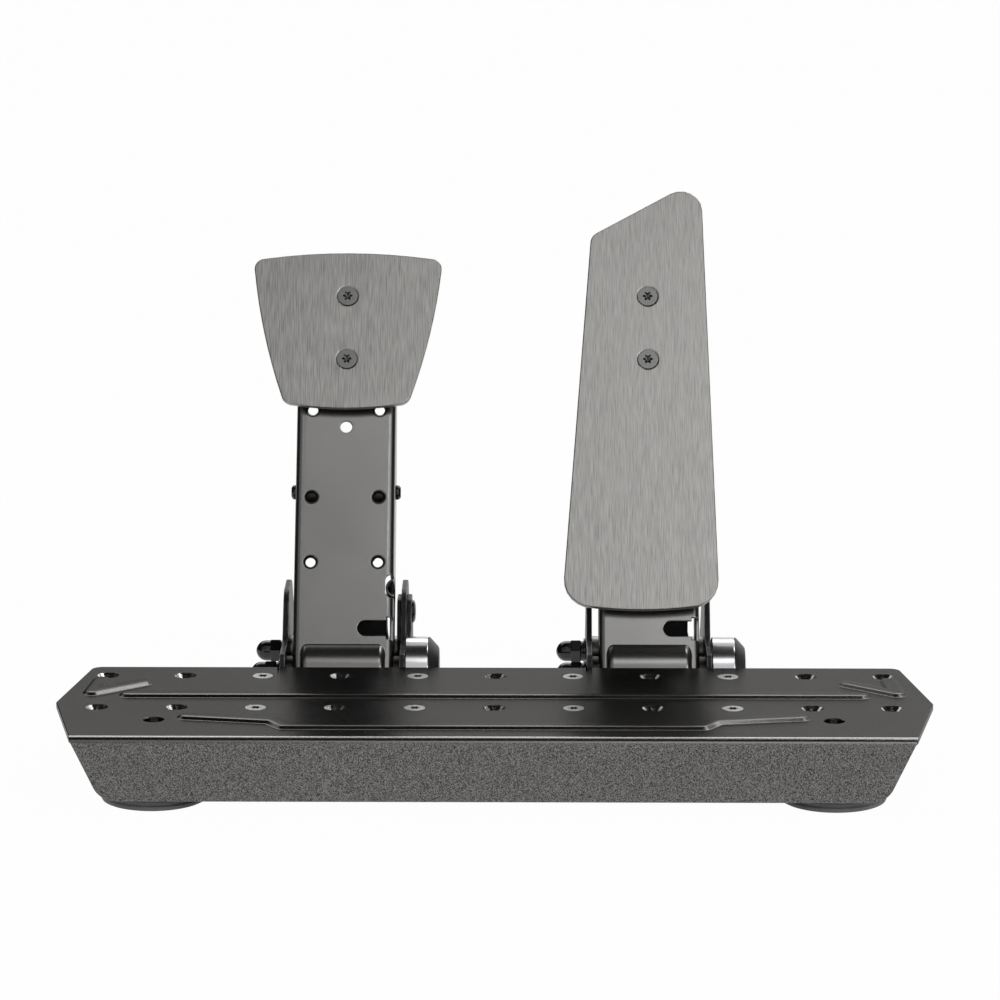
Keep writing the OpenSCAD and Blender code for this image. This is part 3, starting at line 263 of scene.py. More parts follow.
def smooth_flats(piece, angle=FLAT_ANGLE):
    """Smooth roundings between flats that stay flat, with a sharp line at each steeper edge."""
    make_active(piece)
    bpy.ops.object.shade_smooth_by_angle(angle=math.radians(angle))
    pick(piece, "EDGE", lambda edge: False)
    bpy.ops.mesh.edges_select_sharp(sharpness=math.radians(angle))
    bpy.ops.mesh.mark_sharp()
    mode("OBJECT")
    flats = piece.modifiers.new("flats", "WEIGHTED_NORMAL")
    flats.keep_sharp = True
    bpy.ops.object.modifier_apply(modifier=flats.name)


def softened(node, name, width, segments=2):
    """Copy of a CAD node, merged to whole faces, with rounded edges."""
    piece = bpy.data.objects.new(name, cad[node].data.copy())
    scene.collection.objects.link(piece)
    make_active(piece)
    mode("EDIT")
    bpy.ops.mesh.select_all(action="SELECT")
    bpy.ops.mesh.remove_doubles(threshold=MERGE)
    bpy.ops.mesh.dissolve_limited(angle_limit=math.radians(0.6))
    mode("OBJECT")
    ease_edges(piece, width, segments)
    smooth_flats(piece)
    return piece


def turned(name, side, sides=SIDES, bored=False):
    """Turned on the Z axis: a circle extruded and resized to each [radius, height] in turn."""
    clear_selection()
    radius, height = side[0]
    bpy.ops.mesh.primitive_circle_add(
        vertices=sides, radius=radius * MM, fill_type="NOTHING", location=(0, 0, height * MM)
    )
    piece = bpy.context.object
    piece.name = name
    bpy.ops.object.transform_apply(location=True, rotation=False, scale=False)
    mode("EDIT")
    bpy.ops.mesh.select_mode(type="VERT")
    bpy.ops.mesh.select_all(action="SELECT")
    for next_radius, next_height in side[1:]:
        bpy.ops.mesh.extrude_region_move(
            TRANSFORM_OT_translate={"value": (0, 0, (next_height - height) * MM)}
        )
        share = next_radius / radius
        bpy.ops.transform.resize(value=(share, share, 1), center_override=(0, 0, 0))
        radius, height = next_radius, next_height
    if bored:
        bpy.ops.mesh.select_all(action="SELECT")
        bpy.ops.mesh.remove_doubles(threshold=SAME_POINT)
    else:
        bpy.ops.mesh.edge_face_add()
        bpy.ops.mesh.select_all(action="DESELECT")
        bpy.ops.mesh.select_non_manifold()
        bpy.ops.mesh.edge_face_add()
    bpy.ops.mesh.select_all(action="SELECT")
    bpy.ops.mesh.normals_make_consistent(inside=False)
    mode("OBJECT")
    smooth_flats(piece, TURNED_ANGLE)
    return piece


def placed(name, pattern, places, keep=False):
    """Copies of a made piece, one at each place, joined into one mesh."""
    clear_selection()
    for matrix in places:
        copy = pattern.copy()
        copy.data = pattern.data.copy()
        scene.collection.objects.link(copy)
        copy.matrix_world = matrix
        copy.select_set(True)
        bpy.context.view_layer.objects.active = copy
    if len(places) > 1:
        bpy.ops.object.join()
    made = bpy.context.object
    made.name = name
    bpy.ops.object.transform_apply(location=True, rotation=True, scale=True)
    if not keep:
        bpy.data.objects.remove(pattern)
    return made


def at_mm(x, y, z):
    """Place in millimetres from the front screw row's middle, at the plate's top."""
    return Matrix.Translation((x * MM, ROW_Y + y * MM, PLATE_Z + z * MM))


def dress(piece, finish, slot, body, *nodes):
    """Gives a finished piece its finish and its body, and the nodes that it stands for."""
    piece.data.materials.clear()
    piece.data.materials.append(finish)
    if nodes:
        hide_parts(*nodes)
    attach(piece, body)
    return piece


def refinished(node, ending, width, finish, slot, body, segments=2):
    """A node's own shape with rounded edges stands for the node."""
    piece = softened(node, node + ending, width, segments)
    return dress(piece, finish, slot, body, node)


def repaint(finish, *names):
    """A CAD node whose own shape is right takes a finish."""
    for name in names:
        cad[name].data.materials.clear()
        cad[name].data.materials.append(finish)


def new_group(name, inputs, outputs):
    group = bpy.data.node_groups.new(name, "ShaderNodeTree")
    for label, kind, value in inputs:
        made = group.interface.new_socket(label, in_out="INPUT", socket_type="NodeSocket" + kind)
        if value is not None:
            made.default_value = value
    for label in outputs:
        group.interface.new_socket(label, in_out="OUTPUT", socket_type="NodeSocketFloat")
    return group, group.nodes.new("NodeGroupInput"), group.nodes.new("NodeGroupOutput")


# Grain of a coat or a casting: fine specks of one size, and slow uneven patches
grain_group, given, gives = new_group(
    "coat_grain",
    [("Vector", "Vector", None), ("Speck", "Float", 0.0006)],
    ["Specks", "Patches"],
)
per_metre = put(grain_group, "Math", {0: 1.0}, operation="DIVIDE")
specks = put(grain_group, "TexNoise", {"Detail": 3.0, "Roughness": 0.65})
spread = put(grain_group, "MapRange", {"From Min": 0.32, "From Max": 0.68})
patches = put(grain_group, "TexNoise", {"Scale": 22.0, "Detail": 4.0})
wire(
    grain_group,
    (given.outputs["Speck"], per_metre.inputs[1]),
    (per_metre.outputs[0], specks.inputs["Scale"]),
    (given.outputs["Vector"], specks.inputs["Vector"]),
    (given.outputs["Vector"], patches.inputs["Vector"]),
    (specks.outputs[0], spread.inputs["Value"]),
    (spread.outputs[0], gives.inputs["Specks"]),
    (patches.outputs[0], gives.inputs["Patches"]),
)

# Wear and painted highlight of an edge: where a rounded normal leaves the surface's own, broken up
# by patches. The lighter edges it gives stand partly for wear and partly for highlights painted
# into the colour.
wear_and_highlight_group, given, gives = new_group(
    "edge_wear_and_highlight",
    [("Vector", "Vector", None), ("Width", "Float", 0.0005)],
    ["Wear"],
)
rounded = put(wear_and_highlight_group, "Bevel", samples=4)
surface = put(wear_and_highlight_group, "NewGeometry")
same = put(wear_and_highlight_group, "VectorMath", operation="DOT_PRODUCT")
off = put(wear_and_highlight_group, "MapRange", {"From Min": 0.995, "From Max": 0.93})
lifted_edge = put(wear_and_highlight_group, "TexNoise", {"Scale": 180.0, "Detail": 5.0})
broken = put(wear_and_highlight_group, "MapRange", {"From Min": 0.35, "From Max": 0.6})
wear_and_highlight = put(wear_and_highlight_group, "Math", operation="MULTIPLY")
wire(
    wear_and_highlight_group,
    (given.outputs["Width"], rounded.inputs["Radius"]),
    (rounded.outputs[0], same.inputs[0]),
    (surface.outputs["Normal"], same.inputs[1]),
    (same.outputs["Value"], off.inputs["Value"]),
    (given.outputs["Vector"], lifted_edge.inputs["Vector"]),
    (lifted_edge.outputs[0], broken.inputs["Value"]),
    (off.outputs[0], wear_and_highlight.inputs[0]),
    (broken.outputs[0], wear_and_highlight.inputs[1]),
    (wear_and_highlight.outputs[0], gives.inputs["Wear"]),
)


def use_group(tree, group, **values):
    node = tree.nodes.new("ShaderNodeGroup")
    node.node_tree = group
    for name, value in values.items():
        node.inputs[name].default_value = value
    return node


def new_finish(name):
    material = bpy.data.materials.new(name)
    material.use_nodes = True
    tree = material.node_tree
    return material, tree, tree.nodes["Principled BSDF"], put(tree, "TexCoord").outputs["Object"]


def tint(tree, level, colour, shader):
    """Brightness that changes over the surface, times one colour, goes to Base Color."""
    shade = put(tree, "VectorMath", {1: colour}, operation="MULTIPLY")
    wire(tree, (level, shade.inputs[0]), (shade.outputs[0], shader.inputs["Base Color"]))


def bump(tree, height, depth, shader):
    made = put(tree, "Bump", {"Distance": depth, "Strength": 1.0})
    wire(tree, (height, made.inputs["Height"]), (made.outputs[0], shader.inputs["Normal"]))


def coated(
    name, colour, rough, metal=0.0, speck=0.0005, swing=0.2, depth=2e-5, wear_and_highlight_lift=0.3,
    edge=0.0004, edge_highlight_metal=0.0,
):
    """Coated, cast or moulded surface: specks and patches, and edges lifted lighter, part wear and
    part painted highlight, with or without metal there.
    """
    material, tree, shader, at = new_finish(name)
    grain = use_group(tree, grain_group, Speck=speck)
    wear_and_highlight = use_group(tree, wear_and_highlight_group, Width=edge)
    tone = put(tree, "MapRange", {"To Min": 1 - swing, "To Max": 1 + swing})
    cloud = put(tree, "MapRange", {
        "From Min": 0.3, "From Max": 0.7, "To Min": 0.93, "To Max": 1.07,
    })
    both = put(tree, "Math", operation="MULTIPLY")
    lift = put(tree, "Math", {1: wear_and_highlight_lift}, operation="MULTIPLY")
    level = put(tree, "Math", operation="ADD")
    gloss = put(tree, "MapRange", {"To Min": rough * 0.88, "To Max": rough * 1.12})
    wire(
        tree,
        (at, grain.inputs["Vector"]),
        (at, wear_and_highlight.inputs["Vector"]),
        (grain.outputs["Specks"], tone.inputs["Value"]),
        (grain.outputs["Patches"], cloud.inputs["Value"]),
        (tone.outputs[0], both.inputs[0]),
        (cloud.outputs[0], both.inputs[1]),
        (wear_and_highlight.outputs[0], lift.inputs[0]),
        (both.outputs[0], level.inputs[0]),
        (lift.outputs[0], level.inputs[1]),
        (grain.outputs["Specks"], gloss.inputs["Value"]),
        (gloss.outputs[0], shader.inputs["Roughness"]),
    )
    tint(tree, level.outputs[0], colour, shader)
    bump(tree, grain.outputs["Specks"], depth, shader)
    shader.inputs["Metallic"].default_value = metal
    # Edges are turned metallic by the edge mask, for painted edge highlights.
    if edge_highlight_metal:
        metallic = put(tree, "Math", {1: edge_highlight_metal}, operation="MULTIPLY")
        wire(
            tree,
            (wear_and_highlight.outputs[0], metallic.inputs[0]),
            (metallic.outputs[0], shader.inputs["Metallic"]),
        )
    return material


plate_coat, tree, shader, at = new_finish("plate_coat")
PLATE_TOP_TONE = 0.125
SINK_TONE = 0.75
FLANGE_TONE = 0.105
BEND_HIGHLIGHT_TONE = 0.22
EDGE_LIFT = 0.10
SINK_GLOSS = 0.07
HALF_PITCH = HOLE_PITCH / 2 * MM
HALF_GAP = ROW_GAP / 2 * MM
grain = use_group(tree, grain_group, Speck=0.0004)
wear_and_highlight = use_group(tree, wear_and_highlight_group, Width=0.0006)
place = put(tree, "SeparateXYZ")
flange = put(tree, "MapRange", {"From Min": BEND_Y - 0.0030, "From Max": BEND_Y - 0.0038})
# A band along the upper bend is lifted lighter: a painted highlight where the bend catches the
# lights.
bend_in = put(tree, "MapRange", {"From Min": BEND_Y - 0.0001, "From Max": BEND_Y - 0.0008})
bend_out = put(tree, "MapRange", {"From Min": BEND_Y - 0.0023, "From Max": BEND_Y - 0.0017})
bend_highlight_band = put(tree, "Math", operation="MULTIPLY")
# The bend's band is added to the tone here as a painted highlight.
lifted_edge = put(tree, "Math", {1: BEND_HIGHLIGHT_TONE, 2: 0.0}, operation="MULTIPLY_ADD")
calm = put(tree, "MapRange", {"To Min": PLATE_TOP_TONE * 0.92, "To Max": PLATE_TOP_TONE * 1.08})
coarse = put(tree, "MapRange", {"To Min": FLANGE_TONE * -0.2, "To Max": FLANGE_TONE * 2.5})
level = put(tree, "Mix", data_type="FLOAT")
# The plate's edges are lifted lighter by the edge mask: part wear, part painted edge highlight.
lift = put(tree, "Math", {1: EDGE_LIFT, 2: 0.0}, operation="MULTIPLY_ADD")
gloss = put(tree, "MapRange", {"To Min": 0.20, "To Max": 0.26})
from_middle = put(tree, "Math", {1: -ROW_Y - HALF_GAP}, operation="ADD")
from_both = put(tree, "Math", operation="ABSOLUTE")
beside = put(tree, "Math", {1: HALF_PITCH}, operation="PINGPONG")
behind = put(tree, "Math", {1: -HALF_GAP}, operation="ADD")
spot = put(tree, "CombineXYZ")
reach = put(tree, "VectorMath", operation="LENGTH")
round_hole = put(tree, "MapRange", {"From Min": 0.0054, "From Max": 0.0052})
below = put(tree, "MapRange", {"From Min": PLATE_Z - 0.00005, "From Max": PLATE_Z - 0.0002})
above = put(tree, "MapRange", {"From Min": PLATE_Z - 0.0026, "From Max": PLATE_Z - 0.0023})
sunk_area = put(tree, "Math", operation="MULTIPLY")
sunk = put(tree, "Math", operation="MULTIPLY")
whole = put(tree, "Mix", {"B": SINK_TONE}, data_type="FLOAT")
sunk_gloss = put(tree, "Mix", {"B": SINK_GLOSS}, data_type="FLOAT")
wire(
    tree,
    (at, grain.inputs["Vector"]),
    (at, wear_and_highlight.inputs["Vector"]),
    (at, place.inputs[0]),
    (place.outputs["Y"], flange.inputs["Value"]),
    (place.outputs["Y"], bend_in.inputs["Value"]),
    (place.outputs["Y"], bend_out.inputs["Value"]),
    (bend_in.outputs[0], bend_highlight_band.inputs[0]),
    (bend_out.outputs[0], bend_highlight_band.inputs[1]),
    (bend_highlight_band.outputs[0], lifted_edge.inputs[0]),
    (level.outputs["Result"], lifted_edge.inputs[2]),
    (grain.outputs["Specks"], calm.inputs["Value"]),
    (grain.outputs["Specks"], coarse.inputs["Value"]),
    (flange.outputs[0], level.inputs["Factor"]),
    (calm.outputs[0], level.inputs["A"]),
    (coarse.outputs[0], level.inputs["B"]),
    (wear_and_highlight.outputs[0], lift.inputs[0]),
    (lifted_edge.outputs[0], lift.inputs[2]),
    (grain.outputs["Patches"], gloss.inputs["Value"]),
    (gloss.outputs[0], sunk_gloss.inputs["A"]),
    (sunk.outputs[0], sunk_gloss.inputs["Factor"]),
    (sunk_gloss.outputs["Result"], shader.inputs["Roughness"]),
    (place.outputs["Y"], from_middle.inputs[0]),
    (from_middle.outputs[0], from_both.inputs[0]),
    (place.outputs["X"], beside.inputs[0]),
    (from_both.outputs[0], behind.inputs[0]),
    (beside.outputs[0], spot.inputs["X"]),
    (behind.outputs[0], spot.inputs["Y"]),
    (spot.outputs[0], reach.inputs[0]),
    (reach.outputs["Value"], round_hole.inputs["Value"]),
    (place.outputs["Z"], below.inputs["Value"]),
    (place.outputs["Z"], above.inputs["Value"]),
    (below.outputs[0], sunk_area.inputs[0]),
    (above.outputs[0], sunk_area.inputs[1]),
    (sunk_area.outputs[0], sunk.inputs[0]),
    (round_hole.outputs[0], sunk.inputs[1]),
    (sunk.outputs[0], whole.inputs["Factor"]),
    (lift.outputs[0], whole.inputs["A"]),
)
tint(tree, whole.outputs["Result"], (1.02, 1.0, 0.97), shader)
bump(tree, grain.outputs["Specks"], 1.5e-5, shader)
shader.inputs["Metallic"].default_value = 1.0
shader.inputs["Specular Tint"].default_value = (0.4, 0.4, 0.4, 1)

SHEET = 3.0
FRONT_Y, FRONT_HALF = -47.0, 183.0
WIDE_Y, WIDE_HALF = 8.3, 193.8
REAR_Y, REAR_HALF = 70.5, 182.8
BEND_R = 4.0
FLANGE_LOW = -28.5
FLANGE_TAPER = 13.5 / 28.5
HOLE_ROWS = (0, ROW_GAP)
FOOT_HOLE = (148.3, -20.8)
RIB_SIDE = [
    (5.4, -0.1), (4.4, 0.11), (4.2, 0.2), (3.05, 1.13), (2.9, 1.19), (1.9, 1.39), (1.2, 1.4),
]
GROOVE_SIDE = [
    (3.9, -3.6), (3.75, -3.05), (3.6, -2.85), (2.5, -1.85), (2.25, -1.68), (1.95, -1.6),
]
SUNK_HOLE_SIDE = [(2.75, -4.0), (2.75, -2.35), (2.85, -2.15), (6.0, 1.0), (6.0, 3.0)]
RIB_PATHS = [
    [(-162.6, 20.2), (162.6, 20.2)],
    [(-134, -17), (-96.5, -23.6), (-90.7, -32.3), (90.7, -32.3), (96.5, -23.6), (134, -17)],
    [(176.7, 45.6), (179, 23.5), (158, 40.6)],
    [(-158, 40.6), (-179, 23.5), (-176.7, 45.6)],
]


def near(point, x, y):
    return math.hypot(point.co.x - x * MM, point.co.y - y * MM) < 1e-5


def rib_outline(path, half):
    """Outline round a path, there on its right side and back on the other."""
    spots = [Vector(p) for p in path]
    tour = spots + spots[-2:0:-1]
    points = []
    for i, spot in enumerate(tour):
        into, out = spot - tour[i - 1], tour[(i + 1) % len(tour)] - spot
        turn = math.atan2(into.cross(out), into.dot(out))
        start = math.atan2(into.y, into.x) - math.pi / 2
        if abs(turn) > 3.1 or turn > 0:
            steps = max(2, round(abs(turn) * 10 / math.pi))
            angles = [start + abs(turn) * k / steps for k in range(steps + 1)]
            points += [spot + half * Vector((math.cos(a), math.sin(a))) for a in angles]
        else:
            a = start + turn / 2
            points.append(spot + half / math.cos(turn / 2) * Vector((math.cos(a), math.sin(a))))
    return points


def ridge(path, side):
    """Closed ridge on a path: its outline inset and raised to each [half width, height]."""
    half, height = side[0]
    step = 0.1
    outline = [(p.x * MM, p.y * MM, (height - step) * MM) for p in rib_outline(path, half)]
    mesh = bpy.data.meshes.new("ridge")
    mesh.from_pydata(outline, [], [range(len(outline))])
    made = bpy.data.objects.new("ridge", mesh)
    scene.collection.objects.link(made)
    pick(made, "FACE", lambda face: True)
    bpy.ops.mesh.extrude_region_move(TRANSFORM_OT_translate={"value": (0, 0, step * MM)})
    for next_half, next_height in side[1:]:
        bpy.ops.mesh.inset(thickness=(half - next_half) * MM, depth=(next_height - height) * MM)
        half, height = next_half, next_height
    bpy.ops.mesh.select_all(action="SELECT")
    bpy.ops.mesh.normals_make_consistent(inside=False)
    mode("OBJECT")
    return made


def cut(piece, tool, operation="DIFFERENCE"):
    """Joins or cuts a piece with a tool, which is used up."""
    make_active(piece)
    saw = piece.modifiers.new("cut", "BOOLEAN")
    saw.operation = operation
    saw.solver = "EXACT"
    saw.object = tool
    bpy.ops.object.modifier_apply(modifier=saw.name)
    bpy.data.objects.remove(tool)


clear_selection()
middle_y = (FRONT_Y + REAR_Y) / 2
bpy.ops.mesh.primitive_plane_add(size=1, location=(0, middle_y * MM, 0))
sheet = bpy.context.object
sheet.name = "heel_plate_sheet"
bpy.ops.transform.resize(value=(2 * WIDE_HALF * MM, (REAR_Y - FRONT_Y) * MM, 1))
bpy.ops.object.transform_apply(location=True, rotation=False, scale=True)
mode("EDIT")
for side in (-1, 1):
    for y, half in ((FRONT_Y, FRONT_HALF), (REAR_Y, REAR_HALF)):
        outward = Vector((side * abs(WIDE_Y - y), math.copysign(WIDE_HALF - half, y - WIDE_Y), 0))
        bpy.ops.mesh.select_all(action="SELECT")
        bpy.ops.mesh.bisect(
            plane_co=(side * WIDE_HALF * MM, WIDE_Y * MM, 0),
            plane_no=outward.normalized(), clear_outer=True,
        )
bpy.ops.mesh.select_all(action="SELECT")
bpy.ops.mesh.remove_doubles(threshold=SAME_POINT)
bpy.ops.mesh.dissolve_limited(angle_limit=0.001)
mode("OBJECT")
for half, y, reach in ((WIDE_HALF, WIDE_Y, 0.93), (REAR_HALF, REAR_Y, 4.19)):
    pick(sheet, "VERT", lambda p: near(p, half, y) or near(p, -half, y))
    bpy.ops.mesh.bevel(offset=reach * MM, segments=7, affect="VERTICES")
    mode("OBJECT")

# The front edge is drawn round the bend and down to the flange's lower edge
pick(sheet, "VERT", lambda p: p.co.y < (FRONT_Y + 0.01) * MM)
bpy.ops.mesh.spin(
    steps=10, angle=-math.pi / 2, center=(0, FRONT_Y * MM, -BEND_R * MM), axis=(1, 0, 0)
)
bpy.ops.mesh.extrude_region_move(
    TRANSFORM_OT_translate={"value": (0, 0, (FLANGE_LOW + BEND_R) * MM)}
)
mode("OBJECT")
for p in sheet.data.vertices:
    if p.co.y < (FRONT_Y - 0.01) * MM:
        p.co.x = math.copysign(FRONT_HALF * MM + FLANGE_TAPER * p.co.z, p.co.x)
pick(sheet, "VERT", lambda p: p.co.z < (FLANGE_LOW + 0.01) * MM)
bpy.ops.mesh.bevel(offset=6.32 * MM, segments=9, affect="VERTICES")
bpy.ops.mesh.select_all(action="SELECT")
bpy.ops.mesh.normals_make_consistent(inside=False)
mode("OBJECT")
if sheet.data.polygons[0].normal.z < 0:
    pick(sheet, "FACE", lambda face: True)
    bpy.ops.mesh.flip_normals()
    mode("OBJECT")
walls = sheet.modifiers.new("walls", "SOLIDIFY")
walls.thickness = SHEET * MM
walls.offset = -1
walls.use_even_offset = True
make_active(sheet)
bpy.ops.object.modifier_apply(modifier=walls.name)
ease_edges(sheet, 0.45, 3)

for side, operation in ((RIB_SIDE, "UNION"), (GROOVE_SIDE, "DIFFERENCE")):
    cut(sheet, join([ridge(path, side) for path in RIB_PATHS]), operation)
hole = turned("hole", SUNK_HOLE_SIDE)
cut(sheet, placed("holes", hole, [
    Matrix.Translation((i * HOLE_PITCH * MM, y * MM, 0)) for i in range(-5, 6) for y in HOLE_ROWS
]))
hole = turned("foot_hole", [
    (4.8, -4.0), (4.8, -3.0), (4.5, -2.8), (4.5, -0.3), (4.8, 0.0), (4.8, 1.0),
])
cut(sheet, placed("foot_holes", hole, [
    Matrix.Translation((side * FOOT_HOLE[0] * MM, FOOT_HOLE[1] * MM, 0)) for side in (-1, 1)
]))
pick(sheet, "VERT", lambda p: True)
bpy.ops.mesh.remove_doubles(threshold=MERGE)
mode("OBJECT")
smooth_flats(sheet)
sheet.location = (0, ROW_Y, PLATE_Z)
bpy.ops.object.transform_apply(location=True, rotation=False, scale=False)
dress(sheet, plate_coat, "plate_sheet", "base", "heel_plate")

# Foot brackets: two small folded channels under the plate's front corners. They carry
# the front feet and are coated black as the frames are.

# The frame coat's edges are lifted from black to a light metallic grey: painted edge highlights
# along the rims of the black parts.
frame_coat = coated(
    "frame_coat", (0.018, 0.018, 0.0185), 0.38, speck=0.0007, swing=0.35, wear_and_highlight_lift=11.0,
    edge=0.001, edge_highlight_metal=0.9,
)
frame_shader = frame_coat.node_tree.nodes["Principled BSDF"]
frame_shader.inputs["Specular IOR Level"].default_value = 0.14

for side in ("left", "right"):
    refinished("foot_bracket_" + side, "_sheet", 0.3, frame_coat, "frame_sheet", "base")

# Feet: four moulded rubber pucks with a lip on the floor and a threaded brass insert,
# each held by one screw from above.

FEET = {
    "front_foot_left": (-0.1483, -0.0208),
    "front_foot_right": (0.1483, -0.0208),
    "rear_foot_left": (-0.070, 0.146),
    "rear_foot_right": (0.070, 0.146),
}
FOOT_SIDE = [
    (0.05, 0.8), (15.0, 0.8), (15.8, 0.0), (17.0, 0.0), (17.3, 0.35), (17.9, 0.35), (18.2, 0.0),
    (19.4, 0.0), (19.7, 0.35), (20.3, 0.35), (20.6, 0.0), (22.5, 0.0), (23.0, 0.25), (23.3, 0.8),
    (23.3, 1.7), (23.05, 2.0), (22.4, 2.15), (22.1, 2.5), (22.1, 3.5), (21.9, 3.8), (21.75, 4.2),
    (21.7, 6.6), (21.3, 7.3), (20.5, 7.8), (19.6, 8.0), (2.75, 8.0), (2.75, 7.0), (5.5, 7.0),
    (5.5, 2.5), (0.05, 2.5),
]

rubber = coated(
    "foot_rubber", (0.23, 0.23, 0.233), 0.62, speck=0.0009, swing=0.15, depth=3e-5, wear_and_highlight_lift=0.5
)

puck = turned("puck", FOOT_SIDE, 96)
for node, (x, y) in FEET.items():
    foot = placed(node + "_puck", puck, [Matrix.Translation((x, ROW_Y + y, 0))], keep=True)
    dress(foot, rubber, "foot_rubber", "base", node)
bpy.data.objects.remove(puck)

brass = coated("brass", (0.62, 0.44, 0.20), 0.3, metal=1.0, speck=0.0004, swing=0.08, wear_and_highlight_lift=0.15)
repaint(brass, "foot_inserts")
bronze = coated(
    "dark_bronze", (0.034, 0.030, 0.026), 0.36, metal=1.0, speck=0.0004, swing=0.15, wear_and_highlight_lift=0.1
)

# Countersunk and flat-headed screws: zinc-plated steel with a six-lobe recess. Eight
# hold the pedal frames under the heel plate, with nuts below, and four hold the feet.

SCREW_ROWS = [(x + side * HOLE_PITCH, y) for _, x in PEDALS for side in (-1, 1) for y in HOLE_ROWS]
M5_NUT = {"flats": 8, "thick": 4, "bore": 4.9}
FRAME_NUT_Z = -9.5
FOOT_H = 8
FOOT_SHEETS = (2.0, 2.0, 2.5, 2.5)
CONE_DEPTH = 1.1
CONE_TIP = 0.05


def sink(piece, rim, top, depth):
    """Presses a round recess with a conical bottom into the flat top of a turned head."""

    def flat_top(face):
        return abs(face.center.z - top * MM) < SAME_POINT and len(face.vertices) == SIDES

    pick(piece, "FACE", flat_top)
    bpy.ops.mesh.inset(thickness=rim * MM)
    bpy.ops.mesh.extrude_region_move(TRANSFORM_OT_translate={"value": (0, 0, -depth * MM)})
    bpy.ops.mesh.extrude_region_move(TRANSFORM_OT_translate={"value": (0, 0, -CONE_DEPTH * MM)})
    bpy.ops.transform.resize(value=(CONE_TIP, CONE_TIP, 1), center_override=(0, 0, 0))
    mode("OBJECT")


def six_lobes(piece, head_r, recess_r, top, depth):
    """Presses a six-lobe recess into the flat top of a turned head."""
    sink(piece, head_r - recess_r, top, depth)

    def lobe(point):
        inside = math.hypot(point.co.x, point.co.y) < (recess_r + 0.02) * MM
        return math.cos(6 * math.atan2(point.co.y, point.co.x)) if inside else 2

    for from_cos, to_cos, size in ((-1.1, -0.5, 0.70), (-0.5, 0.5, 0.82)):
        pick(piece, "VERT", lambda p: (
            p.co.z > (top - depth) * MM - SAME_POINT and from_cos < lobe(p) <= to_cos
        ))
        bpy.ops.transform.resize(value=(size, size, 1), center_override=(0, 0, 0))
        mode("OBJECT")
    smooth_flats(piece, TURNED_ANGLE)


def sunk_screw(name, length):
    screw = turned(name, [
        (2.0, -length), (2.4, -length + 0.5), (2.4, -2.2), (4.5, -0.22), (4.65, -0.12),
        (4.62, -0.03), (4.5, 0.0),
    ])
    six_lobes(screw, head_r=4.5, recess_r=2.35, top=0.0, depth=1.7)
    return screw


zinc = coated(
    "zinc_plate", (0.28, 0.28, 0.28), 0.36, metal=1.0, speck=0.0003, swing=0.07,
    depth=6e-6, wear_and_highlight_lift=0.2,
)

plate_screws = placed(
    "frame_screw_set", sunk_screw("plate_screw", 11.5), [at_mm(x, y, 0) for x, y in SCREW_ROWS]
)
dress(plate_screws, zinc, "zinc_screws", "base", "frame_screws")


def hexagon_nut(name, flats, thick, bore):
    """Nut on the Z axis with chamfered corners."""
    across = flats / math.cos(math.pi / 6)
    return turned(name, [
        (bore / 2, 0.4), (bore / 2 + 0.4, 0), (across / 2 - 0.5, 0), (across / 2, 0.35),
        (across / 2, thick - 0.35), (across / 2 - 0.5, thick), (bore / 2 + 0.4, thick),
        (bore / 2, thick - 0.4), (bore / 2, 0.4),
    ], 6, bored=True)


nuts = placed(
    "frame_nut_set",
    hexagon_nut("nut", **M5_NUT),
    [at_mm(x, y, FRAME_NUT_Z) for x, y in SCREW_ROWS],
)
dress(nuts, zinc, "zinc_screws", "base", "frame_nuts")

foot_screw = turned("foot_screw", [
    (2.0, -6.4), (2.4, -6.0), (2.4, 0.0), (4.3, 0.0), (4.5, 0.2), (4.5, 2.2), (4.2, 2.75),
    (3.7, 3.0),
])
six_lobes(foot_screw, head_r=3.7, recess_r=2.0, top=3.0, depth=1.6)
foot_screws = placed("foot_screw_set", foot_screw, [
    Matrix.Translation((x, ROW_Y + y, (FOOT_H + thick) * MM))
    for (x, y), thick in zip(FEET.values(), FOOT_SHEETS)
])
dress(foot_screws, zinc, "zinc_screws", "base", "foot_screws")

# Pedal frames: two channels of 2.5 mm sheet, folded up under the heel plate. Their walls
# rise behind it into wings that carry the pivots, with flanged bronze bushes pressed in.

for node in ("brake_frame", "throttle_frame"):
    refinished(node, "_sheet", 0.35, frame_coat, "frame_sheet", "base")
repaint(bronze, "pivot_bushes")

# Brake side plates: a black plate on each face of the brake frame's right wall. The rear
# bolt and a button-head screw with a hexagon socket clamp them.

SIDE_SCREW_AT = (-39.3, 120, 14)
gloss_black = coated(
    "gloss_black", (0.007, 0.007, 0.0075), 0.15, depth=5e-6, wear_and_highlight_lift=1.0
)

for node in ("brake_side_plate", "brake_inner_plate"):
    refinished(node, "_sheet", 0.4, frame_coat, "frame_sheet", "base")


def hex_socket(piece, head_r, flats, top, depth):
    """Presses a hexagon socket into the flat top of a turned head."""
    six = flats / 2 / math.cos(math.pi / 6)
    sink(piece, head_r - six, top, depth)
    for step in range(1, SIDES // 6):
        from_corner = math.radians(360 / SIDES * step)
        size = math.cos(math.pi / 6) / math.cos(from_corner - math.pi / 6)
        pick(piece, "VERT", lambda p: (
            abs(math.hypot(p.co.x, p.co.y) - six * MM) < 5e-5
            and p.co.z > (top - depth) * MM - SAME_POINT
            and abs(math.atan2(p.co.y, p.co.x) % (math.pi / 3) - from_corner) < 0.01
        ))
        bpy.ops.transform.resize(value=(size, size, 1), center_override=(0, 0, 0))
        mode("OBJECT")
    smooth_flats(piece, TURNED_ANGLE)


def across(x, y, z):
    """Turns a piece made on Z to point to the right, at a place in millimetres."""
    return at_mm(x, y, z) @ Matrix.Rotation(math.pi / 2, 4, "Y")


